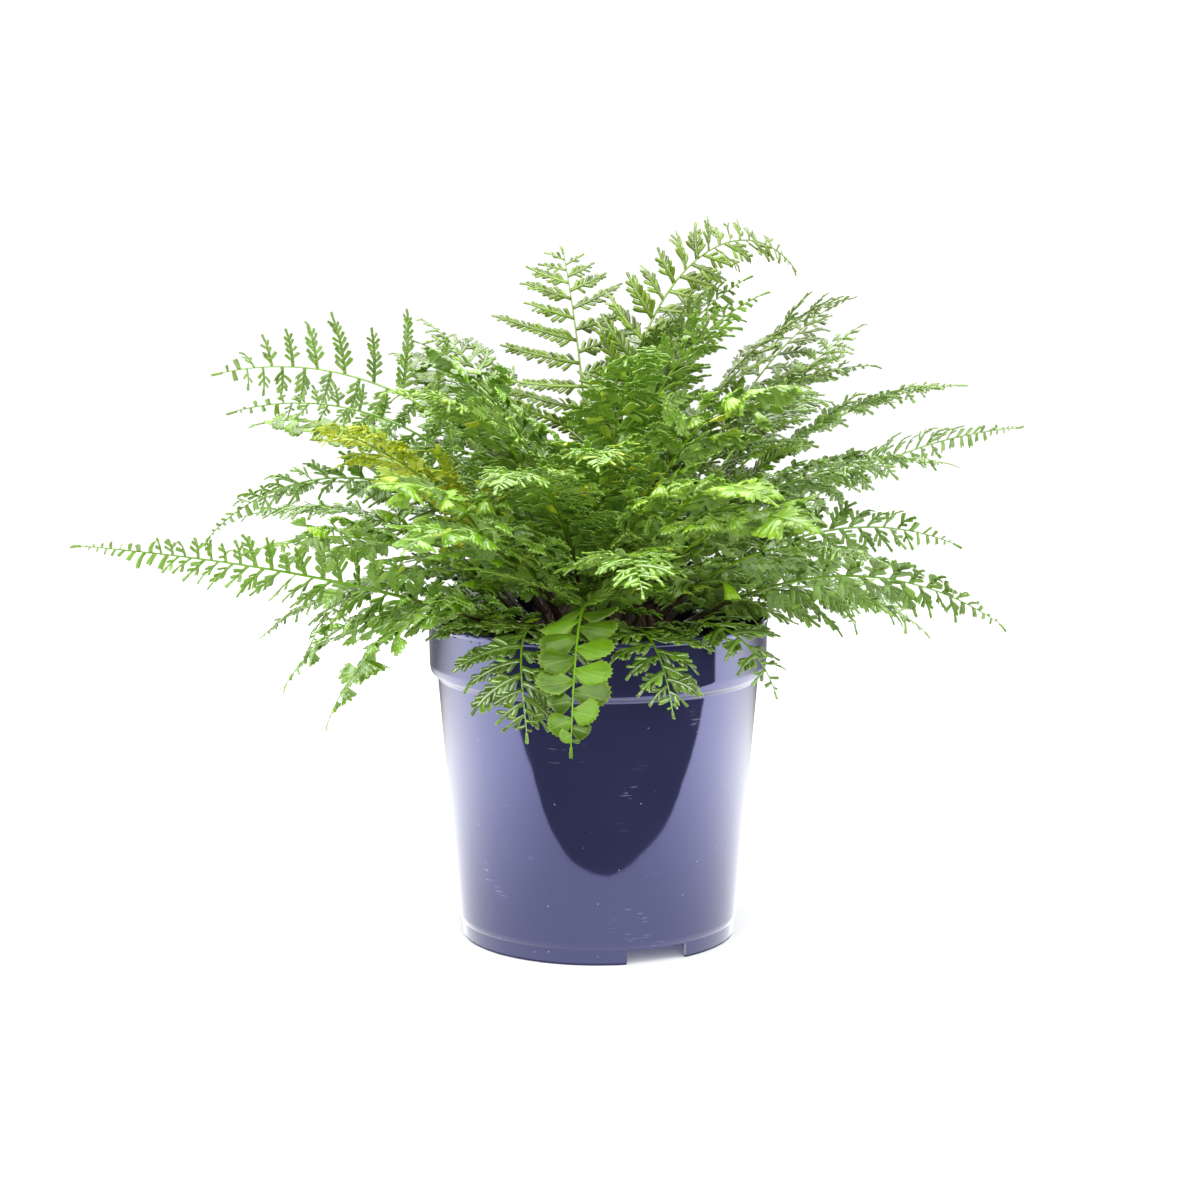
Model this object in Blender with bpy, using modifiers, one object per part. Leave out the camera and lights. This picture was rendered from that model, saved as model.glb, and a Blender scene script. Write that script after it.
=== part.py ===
"""Potted mother fern: nursery pot, potting soil, rhizome crown and separate fronds.

Metres, +Z up. The origin is the centre of the pot's foot, on the surface it stands on.
Azimuths are counted from +X towards +Y, so -90 is the front of the plant.
"""
import itertools
import math

import bmesh
import bpy
import numpy as np
from mathutils.bvhtree import BVHTree

# Pot
POT_HEIGHT = 0.181
RIM_RADIUS = 0.095
LEDGE_HEIGHT = 0.148
BODY_TOP_RADIUS = 0.0896
BODY_FOOT_RADIUS = 0.0785
FOOT_RADIUS = 0.0763
FOOT_HEIGHT = 0.009
WALL = 0.0016
TURN_STEPS = 48
NOTCH_COUNT = 3
NOTCH_AZIMUTH = -64.6
NOTCH_WIDTH = 0.036
DRAIN_COUNT = 6
DRAIN_RADIUS = 0.005
DRAIN_CIRCLE = 0.045

# Soil and crown
GAP = 0.0003
SOIL_TOP = 0.161
CROWN_RADIUS = 0.046
CROWN_HEIGHT = 0.028

# Fronds
LEAF_THICKNESS = 0.0012
CLEARANCE = 0.0004
RACHIS_HALF = 0.0016
STIPE_SHARE = 0.26
STIPE_ROWS = 3
PINNA_PAIRS = 6
PINNA_FILL = 0.66
PINNA_SWEEP = 0.55
PINNA_TIP = 0.62
PINNA_DROOP = 0.10
PATH_STEPS = 60

# Fronds by habit, the longest first and then from the lowest to the topmost. Each row: azimuth,
# rise at the crown, angle at the tip, length, half width of the blade, roll of the blade,
# sideways swing, how late it bends over, tone. Angles in degrees, lengths in metres.
FRONDS = {
    "long": (
        (-143, 28, 9, 0.290, 0.024, 64, 0, 0.5, "mature"),
        (31, 38, 0, 0.280, 0.024, -60, 0, 1.2, "mature"),
    ),
    "trailing": (
        (-152, 34, -58, 0.160, 0.030, 25, 0, 1.2, "mature"),
        (-136, 34, -64, 0.176, 0.028, 25, 0, 1.2, "mature"),
        (-118, 34, -86, 0.158, 0.034, 0, 50, 1.1, "mature"),
        (-94, 42, -72, 0.186, 0.040, 0, 0, 1.1, "mid"),
        (-74, 34, -76, 0.126, 0.024, 0, 0, 1.1, "mature"),
        (-46, 34, -74, 0.108, 0.022, 0, 0, 1.2, "mature"),
        (-20, 34, -34, 0.200, 0.030, -50, 0, 1.3, "mature"),
        (8, 32, -44, 0.158, 0.032, 15, 0, 1.2, "mature"),
        (45, 33, -58, 0.205, 0.034, 0, 0, 1.2, "mature"),
        (80, 33, -66, 0.190, 0.034, 0, 0, 1.2, "mid"),
        (112, 33, -60, 0.195, 0.034, 0, 0, 1.2, "mature"),
        (146, 33, -62, 0.190, 0.034, 0, 0, 1.2, "mature"),
        (176, 32, -44, 0.160, 0.032, 0, 0, 1.2, "mature"),
    ),
    "spreading": (
        (4, 46, -24, 0.180, 0.024, -60, 0, 1.2, "mature"),
        (-168, 46, -20, 0.172, 0.034, 20, 0, 1.2, "mid"),
        (-118, 50, -14, 0.190, 0.036, 0, 0, 1.2, "mature"),
        (-84, 48, -24, 0.190, 0.034, 0, 0, 1.2, "mature"),
        (-58, 48, -10, 0.190, 0.036, 0, 0, 1.2, "mid"),
        (-34, 46, -16, 0.178, 0.034, -15, 0, 1.2, "mature"),
        (62, 44, -16, 0.208, 0.036, 0, 0, 1.2, "mature"),
        (95, 44, -24, 0.192, 0.036, 0, 0, 1.2, "mature"),
        (128, 44, -16, 0.212, 0.036, 0, 0, 1.2, "mid"),
        (160, 44, -18, 0.196, 0.034, 0, 0, 1.2, "mature"),
    ),
    "arching": (
        (177, 62, -50, 0.230, 0.030, 35, 0, 1.2, "mature"),
        (18, 60, 0, 0.236, 0.034, -20, 0, 1.2, "mid"),
        (-152, 58, 18, 0.185, 0.036, 15, 0, 1.2, "young"),
        (-104, 62, -14, 0.215, 0.036, 0, 0, 1.2, "mature"),
        (-66, 62, -14, 0.215, 0.036, 0, 0, 1.2, "mid"),
        (-14, 62, -14, 0.204, 0.036, -10, 0, 1.2, "mature"),
        (50, 60, -10, 0.232, 0.036, 0, 0, 1.2, "mature"),
        (84, 60, -20, 0.215, 0.036, 0, 0, 1.2, "mature"),
        (116, 60, -14, 0.225, 0.036, 0, 0, 1.2, "mature"),
        (148, 60, -14, 0.245, 0.034, 0, 0, 1.2, "mid"),
        (-128, 56, 0, 0.185, 0.034, 0, 0, 1.2, "mid"),
        (-36, 58, 0, 0.190, 0.034, 0, 0, 1.2, "mature"),
    ),
    "rising": (
        (172, 76, -14, 0.262, 0.034, 62, 0, 1.05, "mid"),
        (-172, 66, -16, 0.232, 0.030, 40, 0, 1.25, "mature"),
        (-132, 74, -4, 0.210, 0.036, 0, 0, 1.4, "mid"),
        (-50, 74, -4, 0.215, 0.036, 0, 0, 1.4, "mid"),
        (-4, 72, 0, 0.206, 0.034, -20, 0, 1.4, "young"),
        (34, 74, 6, 0.245, 0.036, -20, 0, 1.4, "young"),
        (76, 72, 2, 0.245, 0.036, 0, 0, 1.4, "mature"),
        (132, 68, 0, 0.220, 0.036, 0, 0, 1.4, "mid"),
        (-90, 76, -20, 0.190, 0.034, 0, 0, 1.4, "mature"),
    ),
    "upright": (
        (46, 86, -46, 0.305, 0.024, 60, 0, 2.2, "young"),
        (112, 86, 62, 0.200, 0.040, 0, 0, 1.4, "young"),
        (150, 80, 22, 0.200, 0.034, 0, 0, 1.6, "mid"),
        (60, 84, 30, 0.215, 0.034, 0, 0, 1.6, "young"),
        (-75, 84, 10, 0.195, 0.034, 0, 0, 1.6, "mature"),
        (-150, 82, 20, 0.190, 0.034, 0, 0, 1.6, "mature"),
        (-15, 82, 24, 0.205, 0.034, 0, 0, 1.6, "mid"),
        (8, 84, 30, 0.205, 0.036, 0, 0, 1.6, "young"),
        (24, 64, 30, 0.210, 0.030, 0, 0, 1.2, "mid"),
        (44, 58, 30, 0.230, 0.030, 0, 0, 2.0, "young"),
    ),
}

# How far a frond may turn aside to clear the ones that grew before it
AZIMUTH_NUDGES = (0, 4, -4, 8, -8, 12, -12)
RISE_NUDGES = (0, 4, -4, 8, -8)
FALL_NUDGES = (0, 8, -8, 16, -16, 24, -24)
ROLL_NUDGES = (0, 15, -15, 30, -30, 45, -45, 60, -60)
NUDGES = sorted(
    itertools.product(AZIMUTH_NUDGES, RISE_NUDGES, FALL_NUDGES, ROLL_NUDGES),
    key=lambda n: (2 * abs(n[0]) + 3 * abs(n[1]) + abs(n[2]) + abs(n[3]), n),
)

TONES = {
    "mature": ((0.045, 0.16, 0.015, 1), 0.32),
    "mid": ((0.11, 0.27, 0.02, 1), 0.38),
    "young": ((0.28, 0.42, 0.05, 1), 0.45),
}


def clear_scene():
    for obj in list(bpy.data.objects):
        bpy.data.objects.remove(obj, do_unlink=True)


def new_collection(name):
    collection = bpy.data.collections.new(name)
    bpy.context.scene.collection.children.link(collection)
    return collection


def new_material(name, colour, roughness, metallic=0.0):
    material = bpy.data.materials.new(name)
    material.use_nodes = True
    shader = material.node_tree.nodes["Principled BSDF"]
    shader.inputs["Base Color"].default_value = colour
    shader.inputs["Roughness"].default_value = roughness
    shader.inputs["Metallic"].default_value = metallic
    return material


def new_object(name, mesh, collection, material=None):
    obj = bpy.data.objects.new(name, mesh)
    collection.objects.link(obj)
    if material:
        mesh.materials.append(material)
    return obj


def turned(name, profile, collection, material):
    """A round piece: a profile of (radius, height) pairs turned about Z."""
    mesh = bpy.data.meshes.new(name)
    points = [(radius, 0.0, height) for radius, height in profile]
    edges = [(i, i + 1) for i in range(len(points) - 1)]
    mesh.from_pydata(points, edges, [])
    obj = new_object(name, mesh, collection, material)
    screw = obj.modifiers.new("turn", "SCREW")
    screw.axis = "Z"
    screw.angle = math.tau
    screw.steps = TURN_STEPS
    screw.render_steps = TURN_STEPS
    screw.use_merge_vertices = True
    screw.merge_threshold = 0.00001
    screw.use_smooth_shade = True
    return obj


def cutter_object(name, mesh, collection, location, azimuth):
    cutter = new_object(name, mesh, collection)
    cutter.location = location
    cutter.rotation_euler.z = math.radians(azimuth)
    cutter.hide_render = True
    cutter.display_type = "WIRE"
    return cutter


def cut(obj, cutter):
    boolean = obj.modifiers.new(cutter.name, "BOOLEAN")
    boolean.operation = "DIFFERENCE"
    boolean.solver = "EXACT"
    boolean.object = cutter


def pot_outside():
    """The pot's outer line, from the lip down to the foot."""
    return [
        (RIM_RADIUS - 0.0022, POT_HEIGHT),
        (RIM_RADIUS - 0.0006, POT_HEIGHT),
        (RIM_RADIUS, POT_HEIGHT - 0.0008),
        (RIM_RADIUS - 0.0007, LEDGE_HEIGHT + 0.0070),
        (RIM_RADIUS - 0.0014, LEDGE_HEIGHT + 0.0030),
        (RIM_RADIUS - 0.0030, LEDGE_HEIGHT + 0.0008),
        (BODY_TOP_RADIUS + 0.0006, LEDGE_HEIGHT),
        (BODY_TOP_RADIUS, LEDGE_HEIGHT - 0.0010),
        (BODY_FOOT_RADIUS, FOOT_HEIGHT + 0.0030),
        (FOOT_RADIUS + 0.0010, FOOT_HEIGHT + 0.0008),
        (FOOT_RADIUS + 0.0006, FOOT_HEIGHT),
        (FOOT_RADIUS, 0.0),
    ]


def pot_inside():
    """The pot's inner line, from the middle of the base up to the lip."""
    base_top = FOOT_HEIGHT + WALL
    return [
        (0.0, base_top),
        (BODY_FOOT_RADIUS - WALL - 0.0020, base_top),
        (BODY_FOOT_RADIUS - WALL, base_top + 0.0025),
        (BODY_TOP_RADIUS - WALL, LEDGE_HEIGHT - 0.0020),
        (RIM_RADIUS - 0.0032, LEDGE_HEIGHT + 0.0035),
        (RIM_RADIUS - 0.0027, POT_HEIGHT - 0.0008),
    ]


def pot_underside():
    """The inside of the foot ring and the underside of the base."""
    return [
        (FOOT_RADIUS - WALL - 0.0004, 0.0),
        (FOOT_RADIUS - WALL, FOOT_HEIGHT - 0.0006),
        (0.0, FOOT_HEIGHT - 0.0006),
    ]


def make_pot(collection, cutters):
    material = new_material("pot_plastic", (0.02, 0.02, 0.06, 1), 0.2)
    profile = pot_inside() + pot_outside() + pot_underside()
    pot = turned("pot", profile, collection, material)
    for i in range(NOTCH_COUNT):
        azimuth = NOTCH_AZIMUTH + i * 360 / NOTCH_COUNT
        mesh = bpy.data.meshes.new(f"foot_notch_{i + 1}")
        box = bmesh.new()
        bmesh.ops.create_cube(box, size=1.0)
        bmesh.ops.scale(box, vec=(0.012, NOTCH_WIDTH, 2 * (FOOT_HEIGHT - 0.0008)), verts=box.verts)
        box.to_mesh(mesh)
        box.free()
        angle = math.radians(azimuth)
        place = (FOOT_RADIUS * math.cos(angle), FOOT_RADIUS * math.sin(angle), 0.0)
        cut(pot, cutter_object(mesh.name, mesh, cutters, place, azimuth))
    for i in range(DRAIN_COUNT):
        angle = math.tau * (i + 0.5) / DRAIN_COUNT
        mesh = bpy.data.meshes.new(f"drain_hole_{i + 1}")
        rod = bmesh.new()
        bmesh.ops.create_cone(rod, cap_ends=True, segments=12, radius1=DRAIN_RADIUS,
                              radius2=DRAIN_RADIUS, depth=6 * WALL)
        rod.to_mesh(mesh)
        rod.free()
        place = (DRAIN_CIRCLE * math.cos(angle), DRAIN_CIRCLE * math.sin(angle), FOOT_HEIGHT)
        cut(pot, cutter_object(mesh.name, mesh, cutters, place, 0.0))
    return pot


def soil_profile():
    """The soil keeps a small gap to the pot's inner line."""
    gap = 2 * GAP
    inside = pot_inside()
    base_radius, base_height = inside[1]
    heel_radius, heel_height = inside[2]
    ledge_radius, ledge_height = inside[3]
    collar_radius, collar_height = inside[4]
    top_radius = collar_radius - gap
    return [
        (0.0, SOIL_TOP),
        (top_radius - 0.004, SOIL_TOP),
        (top_radius, SOIL_TOP - 0.003),
        (top_radius, collar_height + gap),
        (ledge_radius - gap, ledge_height),
        (heel_radius - gap, heel_height + gap),
        (base_radius - gap, base_height + gap),
        (0.0, base_height + gap),
    ]


def make_soil(collection):
    material = new_material("potting_soil", (0.035, 0.022, 0.013, 1), 0.95)
    return turned("potting_soil", soil_profile(), collection, material)


def make_crown(collection):
    """The scaly clump that the fronds grow from: the upper half of a squashed ball."""
    material = new_material("crown_scales", (0.06, 0.03, 0.015, 1), 0.9)
    mesh = bpy.data.meshes.new("rhizome_crown")
    ball = bmesh.new()
    bmesh.ops.create_uvsphere(ball, u_segments=24, v_segments=12, radius=1.0)
    bmesh.ops.scale(ball, vec=(CROWN_RADIUS, CROWN_RADIUS, CROWN_HEIGHT), verts=ball.verts)
    everything = ball.verts[:] + ball.edges[:] + ball.faces[:]
    cut_plane = bmesh.ops.bisect_plane(ball, geom=everything, dist=1e-6, plane_co=(0, 0, 0),
                                       plane_no=(0, 0, 1), clear_inner=True)
    rim = [g for g in cut_plane["geom_cut"] if isinstance(g, bmesh.types.BMEdge)]
    bmesh.ops.contextual_create(ball, geom=rim)
    bmesh.ops.recalc_face_normals(ball, faces=ball.faces)
    ball.to_mesh(mesh)
    ball.free()
    crown = new_object("rhizome_crown", mesh, collection, material)
    crown.location.z = SOIL_TOP + GAP
    return crown


class Frond:
    """One frond: a stipe that leaves the crown square on, and a blade of swept pinnae."""

    def __init__(self, name, azimuth, rise, fall, length, half_width, roll, swing, bend, tone):
        self.name = name
        self.azimuth = azimuth
        self.rise = rise
        self.fall = fall
        self.length = length
        self.half_width = half_width
        self.roll = roll
        self.swing = swing
        self.bend = bend
        self.tone = tone
        self.lay_path()

    def nudged(self, nudge):
        azimuth, rise, fall, roll = nudge
        return Frond(self.name, self.azimuth + azimuth, min(self.rise + rise, 88), self.fall + fall,
                     self.length, self.half_width, self.roll + roll, self.swing, self.bend,
                     self.tone)

    def seat(self):
        """The point on the crown whose surface faces the way the frond sets off."""
        turn = math.radians(self.azimuth)
        around = math.atan2(CROWN_HEIGHT * math.sin(math.radians(self.rise)),
                            CROWN_RADIUS * math.cos(math.radians(self.rise)))
        radius = CROWN_RADIUS * math.cos(around)
        height = CROWN_HEIGHT * math.sin(around)
        return np.array([radius * math.cos(turn), radius * math.sin(turn),
                         SOIL_TOP + GAP + height])

    def lay_path(self):
        """Walks along the rachis from the crown, turning from the rise to the fall angle."""
        self.shares = np.linspace(0, 1, PATH_STEPS + 1)
        lift = np.radians(self.rise + (self.fall - self.rise) * self.shares ** self.bend)
        turn = np.radians(self.azimuth + self.swing * self.shares)
        self.along = np.stack([np.cos(lift) * np.cos(turn), np.cos(lift) * np.sin(turn),
                               np.sin(lift)], axis=1)
        self.across = np.stack([-np.sin(turn), np.cos(turn), np.zeros_like(turn)], axis=1)
        steps = (self.along[1:] + self.along[:-1]) / 2 * self.length / PATH_STEPS
        start = self.seat() + self.along[0] * GAP
        self.points = np.vstack([start, start + np.cumsum(steps, axis=0)])

    def frame_at(self, share):
        """Point, side and normal of the blade at a share of the length."""
        point = np.array([np.interp(share, self.shares, self.points[:, k]) for k in range(3)])
        along = np.array([np.interp(share, self.shares, self.along[:, k]) for k in range(3)])
        across = np.array([np.interp(share, self.shares, self.across[:, k]) for k in range(3)])
        along /= np.linalg.norm(along)
        across /= np.linalg.norm(across)
        up = np.cross(along, across)
        turned_in = min(1.0, share / STIPE_SHARE)
        roll = math.radians(self.roll) * turned_in
        side = across * math.cos(roll) + up * math.sin(roll)
        normal = up * math.cos(roll) - across * math.sin(roll)
        return point, side, normal

    def reach(self, along_blade):
        """Half width of the blade, widest in its lower third and drawn out to the tip."""
        shoulder = min(1.0, 0.72 + 1.1 * along_blade)
        return self.half_width * shoulder * 1.1 * (1 - along_blade) ** 0.55

    def rows(self):
        """Shares of the length at the sheet's cross lines, and which strips carry pinnae."""
        shares = [STIPE_SHARE * i / STIPE_ROWS for i in range(STIPE_ROWS)]
        carries = [False] * STIPE_ROWS
        pitch = (1 - STIPE_SHARE) / PINNA_PAIRS
        for i in range(PINNA_PAIRS):
            start = STIPE_SHARE + i * pitch
            shares += [start, start + PINNA_FILL * pitch]
            carries += [True, False]
        return shares, carries[:-1]

    def sheet(self):
        """The blade's middle surface: (row, column) to a point and its normal, and the quads."""
        shares, carries = self.rows()
        places = {}
        quads = []
        for row, share in enumerate(shares):
            point, side, normal = self.frame_at(share)
            half = RACHIS_HALF * (1 - 0.4 * share)
            places[row, 1] = (point - side * half, normal)
            places[row, 2] = (point + side * half, normal)
        for row, carries_pinna in enumerate(carries):
            quads.append(((row, 1), (row, 2), (row + 1, 2), (row + 1, 1)))
            if not carries_pinna:
                continue
            middle = (shares[row] + shares[row + 1]) / 2
            reach = self.reach((middle - STIPE_SHARE) / (1 - STIPE_SHARE))
            for end in (row, row + 1):
                share = middle + (shares[end] - middle) * PINNA_TIP
                share += PINNA_SWEEP * reach / self.length
                overrun = max(0.0, share - 1.0) * self.length
                point, side, normal = self.frame_at(min(share, 1.0))
                point = point + self.along[-1] * overrun - normal * reach * PINNA_DROOP
                places[end, 0] = (point - side * reach, normal)
                places[end, 3] = (point + side * reach, normal)
            quads.append(((row, 0), (row, 1), (row + 1, 1), (row + 1, 0)))
            quads.append(((row, 2), (row, 3), (row + 1, 3), (row + 1, 2)))
        return places, quads

    def shell(self, half_thickness):
        """A closed shell round the sheet, for finding out what it would touch."""
        places, quads = self.sheet()
        number = {key: i for i, key in enumerate(places)}
        count = len(number)
        points = [tuple(p + n * half_thickness) for p, n in places.values()]
        points += [tuple(p - n * half_thickness) for p, n in places.values()]
        faces = []
        borders = {}
        for quad in quads:
            top = [number[key] for key in quad]
            faces.append(top)
            faces.append([i + count for i in reversed(top)])
            for a, b in zip(top, top[1:] + top[:1]):
                if (b, a) in borders:
                    del borders[b, a]
                else:
                    borders[a, b] = True
        faces += [[b, a, a + count, b + count] for a, b in borders]
        return points, faces


def turned_faces(profile):
    """The turned surface of a profile as points and quads, for finding out what touches it."""
    points = []
    faces = []
    for step in range(TURN_STEPS):
        angle = math.tau * step / TURN_STEPS
        points += [(r * math.cos(angle), r * math.sin(angle), z) for r, z in profile]
    rows = len(profile)
    for step in range(TURN_STEPS):
        here = step * rows
        there = (step + 1) % TURN_STEPS * rows
        faces += [(here + i, here + i + 1, there + i + 1, there + i) for i in range(rows - 1)]
    return points, faces


class Neighbour:
    """Something already in place, with its box for a quick first test."""

    def __init__(self, points, faces):
        self.low = np.min(points, axis=0)
        self.high = np.max(points, axis=0)
        self.tree = BVHTree.FromPolygons(points, faces)

    def touches(self, other):
        if (self.low > other.high).any() or (self.high < other.low).any():
            return False
        return bool(self.tree.overlap(other.tree))


def wanted_fronds():
    """The fronds as the table gives them, those that set the outline first."""
    fronds = []
    for habit, rows in FRONDS.items():
        for i, row in enumerate(rows):
            fronds.append(Frond(f"{habit}_frond_{i + 1:02d}", *row))
    return fronds


def settled_fronds():
    """Every frond in growing order, each turned aside just enough to clear the earlier ones."""
    rim = [p for p in pot_inside() if p[1] > SOIL_TOP] + pot_outside()
    placed = [Neighbour(*turned_faces(rim)), Neighbour(*turned_faces(soil_profile()[1:3]))]
    fronds = []
    for wanted in wanted_fronds():
        for nudge in NUDGES:
            frond = wanted.nudged(nudge)
            wide = Neighbour(*frond.shell(LEAF_THICKNESS / 2 + CLEARANCE))
            if not any(wide.touches(other) for other in placed):
                break
        else:
            raise RuntimeError(f"{wanted.name} has no clear place")
        placed.append(wide)
        fronds.append(frond)
    return fronds


def make_frond(frond, collection, material):
    """A grid with the cells between the pinnae taken out, laid along the frond's path."""
    places, quads = frond.sheet()
    rows = max(row for row, _ in places)
    mesh = bpy.data.meshes.new(frond.name)
    grid = bmesh.new()
    bmesh.ops.create_grid(grid, x_segments=3, y_segments=rows, size=1.0)
    in_order = sorted(grid.verts, key=lambda v: (round(v.co.y, 4), round(v.co.x, 4)))
    cells = {v: divmod(i, 4) for i, v in enumerate(in_order)}
    kept = {frozenset(quad) for quad in quads}
    gaps = [f for f in grid.faces if frozenset(cells[v] for v in f.verts) not in kept]
    bmesh.ops.delete(grid, geom=gaps, context="FACES")
    for vertex in grid.verts:
        vertex.co = places[cells[vertex]][0]
    grid.to_mesh(mesh)
    grid.free()
    obj = new_object(frond.name, mesh, collection, material)
    solidify = obj.modifiers.new("thickness", "SOLIDIFY")
    solidify.thickness = LEAF_THICKNESS
    solidify.offset = 0.0
    return obj


def main():
    clear_scene()
    collection = new_collection("potted_fern")
    cutters = new_collection("cutters")
    make_pot(collection, cutters)
    make_soil(collection)
    make_crown(collection)
    materials = {name: new_material(f"frond_{name}", *look) for name, look in TONES.items()}
    for frond in settled_fronds():
        make_frond(frond, collection, materials[frond.tone])


main()
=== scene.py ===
"""Potted mother fern: the looks of the pot, soil, crown and fronds, built around the CAD frame.

Metres, +Z up. The origin is the centre of the pot's foot, on the surface it stands on.
Azimuths are counted from +X towards +Y, so -90 is the front of the plant.
"""
import math
from typing import NamedTuple

import bmesh
import bpy
import numpy as np
from bpy.props import (EnumProperty, FloatProperty, FloatVectorProperty, IntProperty,
                       PointerProperty)
from bpy.types import Operator, Panel, PropertyGroup
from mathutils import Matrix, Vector


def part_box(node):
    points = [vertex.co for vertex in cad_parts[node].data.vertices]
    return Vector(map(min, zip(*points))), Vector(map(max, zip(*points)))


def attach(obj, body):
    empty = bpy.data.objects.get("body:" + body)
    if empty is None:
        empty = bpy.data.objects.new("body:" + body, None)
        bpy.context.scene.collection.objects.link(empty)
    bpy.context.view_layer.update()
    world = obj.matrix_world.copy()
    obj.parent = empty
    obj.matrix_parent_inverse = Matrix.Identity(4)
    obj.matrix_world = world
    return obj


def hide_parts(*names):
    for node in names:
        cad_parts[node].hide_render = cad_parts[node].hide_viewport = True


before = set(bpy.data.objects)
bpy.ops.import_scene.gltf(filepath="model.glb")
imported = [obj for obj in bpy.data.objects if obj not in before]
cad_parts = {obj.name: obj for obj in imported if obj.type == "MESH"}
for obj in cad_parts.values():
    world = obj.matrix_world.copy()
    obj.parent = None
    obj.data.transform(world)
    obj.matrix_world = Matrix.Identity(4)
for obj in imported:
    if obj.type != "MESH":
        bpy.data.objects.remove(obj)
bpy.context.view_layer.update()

bl_info = {
    "name": "Potted Mother Fern",
    "version": (1, 0, 0),
    "blender": (4, 5, 0),
    "location": "View3D > Sidebar > Fern",
    "description": "Builds a potted mother fern with finely cut fronds around its CAD frame",
    "category": "Add Mesh",
}

# Pot, as in the CAD frame
POT_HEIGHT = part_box("pot")[1].z
RIM_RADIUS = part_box("pot")[1].x
LEDGE_HEIGHT = 0.148
BODY_TOP_RADIUS = 0.0896
BODY_FOOT_RADIUS = 0.0785
FOOT_RADIUS = 0.0763
FOOT_HEIGHT = 0.009
WALL = 0.0016
TURN_STEPS = 224
CORNER_STEPS = 5
NOTCH_COUNT = 3
NOTCH_AZIMUTH = -64.6
NOTCH_WIDTH = 0.036
DRAIN_COUNT = 6
DRAIN_RADIUS = 0.005
DRAIN_CIRCLE = 0.045
CORNER_RADIUS = 0.0009
CREASE = math.radians(38)

# Soil and crown, as in the CAD frame
GAP = 0.0003
SOIL_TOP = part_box("potting_soil")[1].z
SOIL_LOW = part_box("potting_soil")[0].z
SOIL_RINGS = 44
SOIL_STEPS = 150
SOIL_SEED = 11
CROWN_RADIUS = 0.046
CROWN_HEIGHT = 0.028
CROWN_SEED = 23

# Leaves
STIPE_SHARE = 0.26  # of the path, over which a blade takes on its roll
PATH_STEPS = 60
BLADE_START = 0.10  # the leaves start lower on the stipe than the CAD lobes
TIP_SHARE = 0.985
LAST_PINNA = 0.975
SHORT_PINNA = 0.0090  # a single leaflet takes the place of a pinna shorter than this
SHORT_FAN = 0.005
LONGEST_FAN = 0.0230
WIDEST_FAN = 0.0160
WIDEST_OBLONG = 0.0034
WIDEST_WING = 0.0040
PINNA_STEPS = 14
STALK_SIDES = 8
ACROSS = np.array([-1.0, 0.0, 1.0])

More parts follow.
